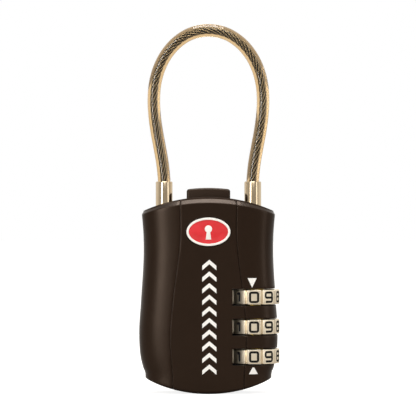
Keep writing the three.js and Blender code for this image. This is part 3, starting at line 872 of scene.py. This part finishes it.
def mechanism_cutters():
    """Room for the button and for what it and the key move."""
    catch_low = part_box("cable_catch")[0]
    tail_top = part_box("key_tail")[1].z
    return [
        # The button's cap, and its lip.
        room(-cap_x - PLAY, cap_x + PLAY, cap_y + PLAY, lip_top, PAST_CROWN),
        room(-6 * MM, 6 * MM, GATE_HEAD_DEPTH, 36 * MM, lip_top + PLAY),
        # The catch's hook.
        room(catch_low.x - PLAY, -4 * MM, CATCH_DEPTH, 37.2 * MM, 39.4 * MM),
        # The gate bar's head, its stem, and the fingers that reach into the sleeves.
        room(-8.9 * MM, 4.2 * MM, GATE_HEAD_DEPTH, 28.9 * MM, 38.2 * MM),
        room(1.8 * MM, 4.2 * MM, GATE_STEM_DEPTH, 9 * MM, 30 * MM),
        room(2 * MM, DIAL_AXIS, GATE_STEM_DEPTH, 9 * MM, 27 * MM),
        # The catch's blade.
        room(-7 * MM, -4.4 * MM, CATCH_DEPTH, catch_low.z - PLAY, 30 * MM),
        # The key's tail, and the sleeve that its plug turns in.
        shaft(KEY_TAIL_ROOM_RADIUS, KEY_AXIS, 11 * MM, tail_top),
        shaft(KEY_RADIUS + KEY_SLEEVE_WALL, KEY_AXIS, 2.6 * MM, 13.6 * MM),
    ]


# %% Cutters for holes that a pin or a plug fills
KEY_PLUG_GAP = 0.15 * MM
RESET_HOLE_RADIUS = 1.15 * MM
CASE_PIN_GAP = 0.06 * MM


def fitted_cutters():
    cutters = [
        shaft(KEY_RADIUS + KEY_PLUG_GAP, KEY_AXIS, PAST_BASE, 3 * MM, sides=96),
        shaft(RESET_HOLE_RADIUS, DIAL_AXIS, PAST_BASE, 6 * MM),
    ]
    for number in (1, 2, 3, 4):
        low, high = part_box(f"case_pin_{number}")
        centre = (low + high) / 2
        radius = (high.x - low.x) / 2 + CASE_PIN_GAP
        start, end = (centre.x, low.y - PLAY, centre.z), (centre.x, PAST_FACE, centre.z)
        cutters.append(bar(radius, start, end, sides=40))
    return cutters


# %% Cutter for the detent leaf, and all cutters together
DETENT_ANGLE = math.radians(144)


def detent_cutter():
    """The narrow slot behind the dials that holds the detent leaf, set round the dial axis."""
    piece = room(5.95 * MM, 7.55 * MM, 1.5 * MM, 5.8 * MM, 27.2 * MM)
    piece.rotation_euler.z = DETENT_ANGLE
    piece.location.x = DIAL_AXIS
    return settle(piece, "detent_cutter")


cutters = dial_cutters() + ferrule_cutters() + mechanism_cutters() + [detent_cutter()]
hollows = joined(cutters, "hollows")
finish(hollows, THIN_COAT)
# These holes are filled, so they keep sharp rims, and the same coat as the skin.
fitted_holes = joined(fitted_cutters(), "fitted_holes")
finish(fitted_holes, COAT)
print("cutters:", len(cutters))

# %% [markdown]
# The badge sits in an elliptical pocket of the front casting. The pocket's cutter is a round bar squashed to
# an ellipse. Its mouth flares, so it leaves a small slope round the pocket that catches light.

# %% Badge pocket
badge_low, badge_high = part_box("badge_plate")
BADGE_HALF_WIDTH = (badge_high.x - badge_low.x) / 2
BADGE_HALF_HEIGHT = (badge_high.z - badge_low.z) / 2
BADGE_HEIGHT = (badge_high.z + badge_low.z) / 2


def ellipse_bar(half_across, half_up, front, back, name, sides=96):
    """A bar of elliptical section along Y, centred on the badge."""
    piece = bar(1.0, (0, back, 0), (0, front, 0), name, sides)
    piece.scale = (half_across, 1, half_up)
    piece.location = (0, 0, BADGE_HEIGHT)
    return settle(piece, name)


# %% Carve both halves and round the rims
RIM_ROUND = 0.16 * MM


def rim_edges(shape):
    """The edges where the coated skin meets a cut face. The seam's own edges stay sharp."""
    rims = []
    for edge in shape.edges:
        on_seam = all(abs(vertex.co.y - PARTING) < 0.001 * MM for vertex in edge.verts)
        if len(edge.link_faces) == 2 and not on_seam:
            one, other = edge.link_faces
            turn = one.normal.angle(other.normal, 0)
            if one.material_index != other.material_index and turn > math.radians(35):
                rims.append(edge)
    return rims


def clear_rims(shape):
    """Draws in each point that lies too close beside a rim, so that a bevel has room there."""
    shape.verts.index_update()
    rims = rim_edges(shape)
    on_rim = {vertex for edge in rims for vertex in edge.verts}
    targets = {}
    for edge in rims:
        first, second = edge.verts
        if edge.calc_length() < 0.05 * MM and first not in targets and second not in targets.values():
            if first not in targets.values():
                targets[first] = second
    for vertex in sorted(on_rim - set(targets), key=lambda vertex: vertex.index):
        for edge in vertex.link_edges:
            beside = edge.other_vert(vertex)
            close = edge.calc_length() < 1.4 * RIM_ROUND
            on_skin = all(face.material_index == 0 for face in beside.link_faces)
            if close and on_skin and beside not in targets:
                targets[beside] = vertex
    bmesh.ops.weld_verts(shape, targetmap=targets)
    return len(targets)


def round_rims(piece):
    pick(piece)
    bpy.ops.object.mode_set(mode="EDIT")
    bpy.ops.mesh.select_mode(type="EDGE")
    bpy.ops.mesh.select_all(action="DESELECT")
    shape = bmesh.from_edit_mesh(piece.data)
    drawn_in = clear_rims(shape)
    rims = rim_edges(shape)
    for edge in rims:
        edge.select_set(True)
    print("rim edges:", len(rims), "points drawn in:", drawn_in)
    bmesh.update_edit_mesh(piece.data)
    bpy.ops.mesh.bevel(offset=RIM_ROUND, segments=2, profile=0.6, clamp_overlap=False, material=0)
    bpy.ops.object.mode_set(mode="OBJECT")
    mend(piece)


def finish_half(piece, name):
    carve(piece, fitted_holes, keep_cutter=True, inks=True)
    carve(piece, hollows, keep_cutter=True, inks=True)
    settle(piece, name)
    round_rims(piece)
    print(name, "faces:", len(piece.data.polygons))
    smooth(piece, 32)
    apply_modifier(piece, "WEIGHTED_NORMAL", keep_sharp=True, weight=80)
    return piece


rear_case = copied(front_case, "rear_case")
pick(rear_case)
rear_case.scale.y = -1
settle(rear_case, "rear_case")
clean_normals(rear_case)

POCKET_PLAY = 0.16 * MM
POCKET_SLOPE = 0.15 * MM
mouth = PANEL_FRONT + POCKET_SLOPE
pocket_half = (BADGE_HALF_WIDTH + POCKET_PLAY, BADGE_HALF_HEIGHT + POCKET_PLAY)
pocket = ellipse_bar(*pocket_half, mouth, badge_high.y + 0.02 * MM, "pocket")
select_faces(pocket, lambda face: face.normal.y < -0.9)
bpy.ops.mesh.extrude_region_move(TRANSFORM_OT_translate={"value": (0, -2 * POCKET_SLOPE, 0)})
flare = [(half + 2 * POCKET_SLOPE) / half for half in pocket_half]
bpy.ops.transform.resize(value=(flare[0], 1, flare[1]), center_override=(0, 0, BADGE_HEIGHT))
bpy.ops.object.mode_set(mode="OBJECT")
finish(pocket, COAT)
carve(front_case, pocket, inks=True)
finish_half(front_case, "front_case")
finish_half(rear_case, "rear_case")
remove(hollows)
remove(fitted_holes)

# %% [markdown]
# ## The button
#
# The push button is a moulded cap with soft corners and a slightly crowned top, and a lip below that stops it
# from coming out. A block gets its crown by cutting it into strips and raising them, and then a bevel rounds
# its edges.

# %% Button
BUTTON_CROWN = 0.35 * MM
shoulder = button_high.z - BUTTON_CROWN
button = block((-cap_x, -cap_y, lip_top - 0.1 * MM), (cap_x, cap_y, shoulder), "push_button")
open_whole(button)
bpy.ops.mesh.subdivide(number_cuts=9)
bpy.ops.object.mode_set(mode="OBJECT")
for vertex in button.data.vertices:
    if vertex.co.z > lip_top:
        share = (vertex.co.z - lip_top) / (button_high.z - lip_top)
        vertex.co.z += BUTTON_CROWN * share * (1 - (vertex.co.x / cap_x) ** 2)
open_whole(button)
bpy.ops.mesh.dissolve_limited(angle_limit=math.radians(1))
bpy.ops.object.mode_set(mode="OBJECT")
apply_modifier(
    button, "BEVEL", width=0.55 * MM, segments=6, limit_method="ANGLE", angle_limit=math.radians(60)
)
lip = block(button_low, (button_high.x, button_high.y, lip_top), "button_lip")
apply_modifier(lip, "BEVEL", width=0.15 * MM, segments=2, limit_method="ANGLE")
apply_modifier(button, "BOOLEAN", object=lip, operation="UNION", solver="EXACT")
remove(lip)
finish(button, ABS)
smooth(button, 30)
print("button faces:", len(button.data.polygons))

# %% [markdown]
# ## The dials
#
# A dial is a ring with ten flats for ten numbers, and a groove between each two flats for the finger and the
# detent. The numbers are cut with a round-nosed engraving cutter and then wiped with ink. So each number is
# modelled as the cutter's own path: strokes with rounded corners, swept by a round section, half sunk in the
# flat. All ten paths are cut in one boolean, and the ink comes along as the cutter's material.

# %% Numbers as paths of the engraving cutter
# Points go from -1 to 1 across and up. A path whose first and last points are alike is closed.
NUMBER_PATHS = {
    0: [[(-1, -1), (1, -1), (1, 1), (-1, 1), (-1, -1)]],
    1: [[(-0.55, 0.55), (0.1, 1), (0.1, -1)]],
    2: [[(-1, 0.55), (-1, 1), (1, 1), (1, 0), (-1, 0), (-1, -1), (1, -1)]],
    3: [[(-1, 1), (1, 1), (1, -1), (-1, -1)], [(-0.35, 0), (0.95, 0)]],
    4: [[(0.5, -1), (0.5, 1), (-1, -0.35), (1, -0.35)]],
    5: [[(1, 1), (-1, 1), (-1, 0.1), (1, 0.1), (1, -1), (-1, -1)]],
    6: [[(0.95, 1), (-1, 1), (-1, -1), (1, -1), (1, 0.1), (-0.95, 0.1)]],
    7: [[(-1, 1), (1, 1), (-0.1, -1)]],
    8: [[(-1, -1), (1, -1), (1, 1), (-1, 1), (-1, -1)], [(-0.95, 0.05), (0.95, 0.05)]],
    9: [[(-0.95, -1), (1, -1), (1, 1), (-1, 1), (-1, -0.1), (0.95, -0.1)]],
}
NUMBER_HALF_WIDTH = 0.9 * MM
NUMBER_HALF_HEIGHT = 1.05 * MM
STROKE_RADIUS = 0.28 * MM
# The cutter's centre stays this far in front of the flat.
STROKE_LIFT = 0.09 * MM
CORNER = 0.4 * MM


def rounded_path(path):
    """The path in metres, with each corner swapped for a short curve."""
    points = [np.array((x * NUMBER_HALF_WIDTH, y * NUMBER_HALF_HEIGHT)) for x, y in path]
    closed = path[0] == path[-1]
    inner = points[:-1] if closed else points
    result = []
    for i, here in enumerate(inner):
        if not closed and i in (0, len(inner) - 1):
            result.append(here)
            continue
        before, after = inner[i - 1], inner[(i + 1) % len(inner)]
        start = here + (before - here) * min(0.5, CORNER / np.linalg.norm(before - here))
        end = here + (after - here) * min(0.5, CORNER / np.linalg.norm(after - here))
        for t in (0, 0.25, 0.5, 0.75, 1):
            result.append(start * (1 - t) ** 2 + here * 2 * t * (1 - t) + end * t**2)
    return np.array(result), closed


FLATS = 10
FLAT_HALF_ANGLE = math.radians(14.8)


def number_cutter(number, flat_distance):
    """The tube cut by the engraving cutter for one number, on the flat that faces its own way."""
    tubes = []
    for path in NUMBER_PATHS[number]:
        line, closed = rounded_path(path)
        if closed:
            # A closed path is measured with one more point at each end, so its two ends meet without a twist.
            line = np.concatenate([line[-1:], line, line[:1]])
        centres, sideways, inwards = frame_along(line)
        if closed:
            centres, sideways, inwards = centres[1:-1], sideways[1:-1], inwards[1:-1]
        tubes.append(sweep("stroke", [centres], sideways, inwards, STROKE_RADIUS, 10, closed))
    piece = joined(tubes, "number")
    piece.location.y = -flat_distance - STROKE_LIFT
    settle(piece, "number")
    piece.rotation_euler.z = -number * 2 * math.pi / FLATS
    return settle(piece, "number")


# %% Model one dial
GROOVE_RADIUS = 5.35 * MM
FLAT_DISTANCE = 5.72 * MM
BORE_RADIUS = 3.6 * MM


def dial_outline():
    corner = FLAT_DISTANCE / math.cos(FLAT_HALF_ANGLE)
    outline = []
    for k in range(FLATS):
        middle_angle = -math.pi / 2 + k * 2 * math.pi / FLATS
        outline.append((corner, middle_angle - FLAT_HALF_ANGLE))
        outline.append((corner, middle_angle + FLAT_HALF_ANGLE))
        outline.append((GROOVE_RADIUS, middle_angle + math.pi / FLATS))
    return [(r * math.cos(a), r * math.sin(a)) for r, a in outline]


def one_dial():
    outline = dial_outline()
    bpy.ops.mesh.primitive_circle_add(vertices=len(outline), radius=1, fill_type="NGON")
    dial = bpy.context.active_object
    for vertex, (x, y) in zip(dial.data.vertices, outline):
        vertex.co = (x, y, -DIAL_HEIGHT / 2)
    open_whole(dial)
    bpy.ops.mesh.extrude_region_move(TRANSFORM_OT_translate={"value": (0, 0, DIAL_HEIGHT)})
    bpy.ops.object.mode_set(mode="OBJECT")
    clean_normals(dial)
    apply_modifier(
        dial, "BEVEL", width=0.14 * MM, segments=3, limit_method="ANGLE", angle_limit=math.radians(18)
    )
    carve(dial, shaft(BORE_RADIUS, 0, -5 * MM, 5 * MM))
    finish(dial, SATIN_NICKEL)
    numbers = joined([number_cutter(number, FLAT_DISTANCE) for number in range(FLATS)], "numbers")
    finish(numbers, INK)
    carve(dial, numbers, inks=True)
    return smooth(dial, 28)


master = one_dial()
dials = []
for name, z in zip(DIALS, dial_heights):
    dial = copied(master, f"numbered_{name}")
    dial.location = (DIAL_AXIS, 0, z)
    dials.append(settle(dial, f"numbered_{name}"))
remove(master)
dial_mesh = dials[0].data
print("faces of one dial:", len(dial_mesh.polygons), "materials:", [m.name for m in dial_mesh.materials])

# %% [markdown]
# ## The badge
#
# The badge is a small casting with a white rim and a sign that stand up, and red enamel that fills the space
# between them. The sign here is a plain keyhole. The enamel shrinks as it is stoved and clings to the walls,
# so its face is a shallow dome. The plate starts as an elliptical bar whose face is inset and sunk, and the
# dome is inset ring by ring, each a little further out.

# %% Badge plate with its rim and keyhole
RIM_WIDTH = 0.5 * MM
RECESS = 0.3 * MM
BADGE_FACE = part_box("badge_enamel")[0].y
badge_back = badge_high.y - 0.1 * MM
# What stands up from the plate, and the enamel, reach into it as far as this.
inside_plate = badge_high.y - 0.2 * MM

badge = ellipse_bar(BADGE_HALF_WIDTH, BADGE_HALF_HEIGHT, BADGE_FACE, badge_back, "enamelled_badge")
select_faces(badge, lambda face: face.normal.y < -0.9)
bpy.ops.mesh.inset(thickness=RIM_WIDTH)
bpy.ops.mesh.extrude_region_move(TRANSFORM_OT_translate={"value": (0, RECESS, 0)})
bpy.ops.object.mode_set(mode="OBJECT")

KEYHOLE_RADIUS = 0.82 * MM
KEYHOLE_HEIGHT = BADGE_HEIGHT + 0.62 * MM
SKIRT_HALF = 0.62 * MM
skirt_foot = BADGE_HEIGHT - 1.75 * MM
keyhole = bar(KEYHOLE_RADIUS, (0, BADGE_FACE, KEYHOLE_HEIGHT), (0, inside_plate, KEYHOLE_HEIGHT), sides=48)
skirt = block((-SKIRT_HALF, BADGE_FACE, skirt_foot), (SKIRT_HALF, inside_plate, KEYHOLE_HEIGHT), "skirt")
select_faces(skirt, lambda face: face.normal.z > 0.9)
bpy.ops.transform.resize(value=(0.5, 1, 1), center_override=(0, 0, KEYHOLE_HEIGHT))
bpy.ops.object.mode_set(mode="OBJECT")
for part in (keyhole, skirt):
    apply_modifier(badge, "BOOLEAN", object=part, operation="UNION", solver="EXACT")
    remove(part)
apply_modifier(
    badge, "BEVEL", width=0.07 * MM, segments=2, limit_method="ANGLE", angle_limit=math.radians(40)
)
finish(badge, WHITE_ENAMEL)
smooth(badge, 40)

# %% Red enamel
enamel_half = (BADGE_HALF_WIDTH - RIM_WIDTH, BADGE_HALF_HEIGHT - RIM_WIDTH)
enamel = ellipse_bar(*enamel_half, BADGE_FACE + 0.16 * MM, inside_plate, "red_enamel")
select_faces(enamel, lambda face: face.normal.y < -0.9)
DOME = 0.13 * MM
DOME_RINGS = 7
for ring in range(DOME_RINGS):
    here, there = ring / DOME_RINGS, (ring + 1) / DOME_RINGS
    rise = DOME * (math.sin(there * math.pi / 2) - math.sin(here * math.pi / 2))
    bpy.ops.mesh.inset(thickness=2.5 * MM / DOME_RINGS * (0.35 + 0.09 * ring), depth=rise)
bpy.ops.object.mode_set(mode="OBJECT")
finish(enamel, RED_ENAMEL)
smooth(enamel, 40)
print("badge faces:", len(badge.data.polygons), "enamel faces:", len(enamel.data.polygons))

# %% [markdown]
# ## Printed marks
#
# The white marks are ink, 0.02 mm thick. Each starts as a flat outline. It is cut into small faces, pressed
# onto the case from the front, and given its thickness last. Two arrows point at the row of numbers that
# counts, one from above and one from below. A row of chevrons up the panel is decoration.

# %% Print helper
INK_THICKNESS = 0.02 * MM


def outline_piece(outlines, name):
    """Flat faces in the upright plane, in front of the case, from lists of (x, z) points."""
    points, faces = [], []
    for outline in outlines:
        faces.append(list(range(len(points), len(points) + len(outline))))
        points += [(x, -12 * MM, z) for x, z in outline]
    return from_points(name, points, [], faces)


def printed(outlines, name):
    piece = outline_piece(outlines, name)
    open_whole(piece)
    bpy.ops.mesh.quads_convert_to_tris(quad_method="BEAUTY", ngon_method="BEAUTY")
    bpy.ops.mesh.subdivide(number_cuts=3)
    bpy.ops.object.mode_set(mode="OBJECT")
    apply_modifier(
        piece, "SHRINKWRAP", target=front_case, wrap_method="PROJECT", use_project_y=True,
        use_positive_direction=True, use_negative_direction=False, offset=0.004 * MM,
    )
    apply_modifier(piece, "SOLIDIFY", thickness=INK_THICKNESS, offset=1.0)
    lowest = min(v.co.y for v in piece.data.vertices)
    finish(piece, PAD_PRINT)
    print(name, "faces:", len(piece.data.polygons), "front:", round(lowest / MM, 3))
    return clean_normals(piece, merge=0.0005 * MM)


# %% Chevrons and index arrows
CHEVRON_HALF_WIDTH = 1.6 * MM
CHEVRON_RISE = 1.35 * MM
CHEVRON_STROKE = 1.0 * MM
CHEVRON_PITCH = 2.62 * MM
CHEVRON_COUNT = 10
PRINT_MIDDLE = 0.2 * MM
PRINT_FOOT = 4.4 * MM


def chevron(number):
    half, rise, stroke = CHEVRON_HALF_WIDTH, CHEVRON_RISE, CHEVRON_STROKE
    foot = PRINT_FOOT + number * CHEVRON_PITCH
    shape = [(-half, 0), (0, rise), (half, 0), (half, stroke), (0, rise + stroke), (-half, stroke)]
    return [(PRINT_MIDDLE + x, foot + z) for x, z in shape]


def arrow(x, tip, base, half):
    return [(x, tip), (x + half, base), (x - half, base)]


chevrons = printed([chevron(number) for number in range(CHEVRON_COUNT)], "printed_chevrons")
slot_top = dial_heights[-1] + SLOT_HEIGHT / 2
slot_foot = dial_heights[0] - SLOT_HEIGHT / 2
ARROW_HALF = 1.03 * MM
arrow_x = DIAL_AXIS - 0.3 * MM
index_arrows = printed(
    [
        arrow(arrow_x - 0.15 * MM, slot_top + 0.3 * MM, slot_top + 2.45 * MM, ARROW_HALF),
        arrow(arrow_x + 0.15 * MM, slot_foot - 0.12 * MM, slot_foot - 1.98 * MM, ARROW_HALF),
    ],
    "printed_index_arrows",
)

# %% [markdown]
# ## Inner works
#
# The pieces inside keep the frame's own shapes, which are right as they are. They only need their metals. The
# pins' heads show on the back, and were blacked so that they don't catch the eye.

# %% Metals of the inner works
INNER_METALS = {
    "inner_steel": PLAIN_STEEL,
    "spring_steel": SPRING_STEEL,
    "lock_brass": BRASS,
}
for entry in frame["record"]["subparts"]:
    metal = INNER_METALS.get(entry["material_slot"])
    if metal:
        node = frame["nodes"][entry["node"]]
        finish(node, BLACKED_STEEL if entry["node"].startswith("case_pin") else metal)

# %% [markdown]
# Two of the coil springs are squeezed when the lock works: the button's, and the one round the reset pin.
# Each is copied as a piece of its own.

# %% Springs that are squeezed
def loose_copy(node, name):
    spring = copied(frame["nodes"][node], name)
    pick(spring)
    bpy.ops.object.parent_clear(type="CLEAR_KEEP_TRANSFORM")
    return clean_normals(settle(spring, name))


button_coil = loose_copy("button_spring", "button_return_spring")
spindle_coil = loose_copy("spindle_spring", "reset_pin_spring")
print("springs:", [len(spring.data.polygons) for spring in (button_coil, spindle_coil)])

# %% [markdown]
# ## Studio
#
# A white sweep and even light all round leave a dark glossy thing dark in the middle and bright along its
# edges, where its surface turns away and mirrors the white. The camera's side of the room is dimmer. A tall
# narrow lamp on the left draws the soft band down the case's left side, a weaker one on the right does the
# same there, and one straight above lights the slope under the crown. The paper glows by itself as well, as a
# product table lit from below does, so it stays white to the camera while the lock sees a dimmer one.

# %% Floor
bpy.ops.mesh.primitive_circle_add(vertices=96, radius=2.5, fill_type="NGON", location=(0, 0, 0))
floor = settle(bpy.context.active_object, "studio_floor")
paper, tree, sockets = new_material(
    "white_paper_sweep", Roughness=0.95, Specular_IOR_Level=0.1, Emission_Color=linear("#ffffff")
)
vary(tree, sockets["Base Color"], cloudy(tree, 20 * MM), "#9b9894", "#a19e9a")
seen = add_node(tree, "ShaderNodeLightPath").outputs["Is Camera Ray"]
GLOW = 0.84
add_node(tree, "ShaderNodeMath", {0: seen, 1: GLOW}, to=sockets["Emission Strength"], operation="MULTIPLY")
finish(floor, paper)

# %% Room
FRONT_DIM = 0.5
world = bpy.data.worlds.new("white_studio")
bpy.context.scene.world = world
world.use_nodes = True
tree = world.node_tree
tree.nodes.clear()
direction = add_node(tree, "ShaderNodeTexCoord").outputs["Generated"]
toward = add_node(tree, "ShaderNodeSeparateXYZ", {"Vector": direction}).outputs["Y"]
dimming = {"Value": toward, "From Min": -0.55, "From Max": 0.3, "To Min": FRONT_DIM}
light = add_node(tree, "ShaderNodeMapRange", dimming, interpolation_type="SMOOTHSTEP")
room = add_node(tree, "ShaderNodeBackground", {"Color": linear("#fffdf9"), "Strength": light.outputs[0]})
backdrop = add_node(tree, "ShaderNodeBackground", {"Color": linear("#ffffff"), "Strength": 1.0})
seen = add_node(tree, "ShaderNodeLightPath").outputs["Is Camera Ray"]
mixed = add_node(tree, "ShaderNodeMixShader", {0: seen, 1: room.outputs[0], 2: backdrop.outputs[0]})
add_node(tree, "ShaderNodeOutputWorld", {"Surface": mixed.outputs[0]})


# %% Lamps
def softbox(name, place, width, height, radiance):
    """A large area lamp that faces the middle of the lock. White paper in daylight has a radiance of 1."""
    place = Vector(place)
    aim = Vector((0, 0, CROWN_TOP * 0.8)) - place
    bpy.ops.object.light_add(type="AREA", location=place, rotation=aim.to_track_quat("-Z", "Y").to_euler())
    lamp = bpy.context.active_object
    lamp.name = name
    lamp.data.shape = "RECTANGLE"
    lamp.data.size = width
    lamp.data.size_y = height
    lamp.data.energy = radiance * math.pi * width * height
    return lamp


# Name, place, width and height in metres, and radiance.
LAMPS = [
    ("left_strip", (-0.31, -0.51, 0.1), 0.14, 0.8, 7.4),
    ("overhead", (0.0, -0.04, 0.6), 0.3, 0.3, 10.0),
    ("right_strip", (0.48, -0.30, 0.1), 0.12, 0.8, 2.2),
    ("key", (0.1, -0.5, 0.5), 0.3, 0.3, 1.5),
]
for lamp in LAMPS:
    softbox(*lamp)
bpy.context.scene.view_settings.view_transform = "Standard"

# %% [markdown]
# ## Hand the pieces to their bodies
#
# Each rigid piece rides on the part of the mechanism that moves it, and the plain node that it stands for is
# hidden. The two springs and the cable are left loose: their plain nodes are hidden as well, and their places
# are moved into their meshes.

# %% Riding, and hiding the plain nodes
PIECES = [
    (front_case, "casing", "case_coat", ["front_shell"]),
    (rear_case, "casing", "case_coat", ["rear_shell"]),
    (badge, "casing", "badge_white", ["badge_plate"]),
    (enamel, "casing", "badge_red", ["badge_enamel"]),
    (chevrons, "casing", "badge_white", []),
    (index_arrows, "casing", "badge_white", []),
    (fixed_ferrule, "casing", "ferrule_nickel", ["fixed_ferrule"]),
    (free_ferrule, "cable_free_end", "ferrule_nickel", ["free_ferrule"]),
    (button, "button", "button_plastic", ["release_button"]),
    (dials[0], "lower_dial", "dial_nickel", ["dial_1"]),
    (dials[1], "middle_dial", "dial_nickel", ["dial_2"]),
    (dials[2], "upper_dial", "dial_nickel", ["dial_3"]),
]
for piece, body, slot, nodes in PIECES:
    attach(piece, body)
    if nodes:
        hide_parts(*nodes)

SPRINGS = [
    (button_coil, "button_spring", "button", "foot", "head"),
    (spindle_coil, "spindle_spring", "reset_spindle", "head", "foot"),
]
for spring, node, mover, held, pushed in SPRINGS:
    low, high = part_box(node)
    ends = {"foot": (middle(node).x, 0, low.z), "head": (middle(node).x, 0, high.z)}
    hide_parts(node)
    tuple(ends[held])
    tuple(ends[pushed])
    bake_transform(spring)

for piece, slot, node in ((jacket, "cable_jacket", "cable_jacket"), (rope, "cable_steel", "cable_core")):
    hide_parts(node)
    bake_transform(piece)
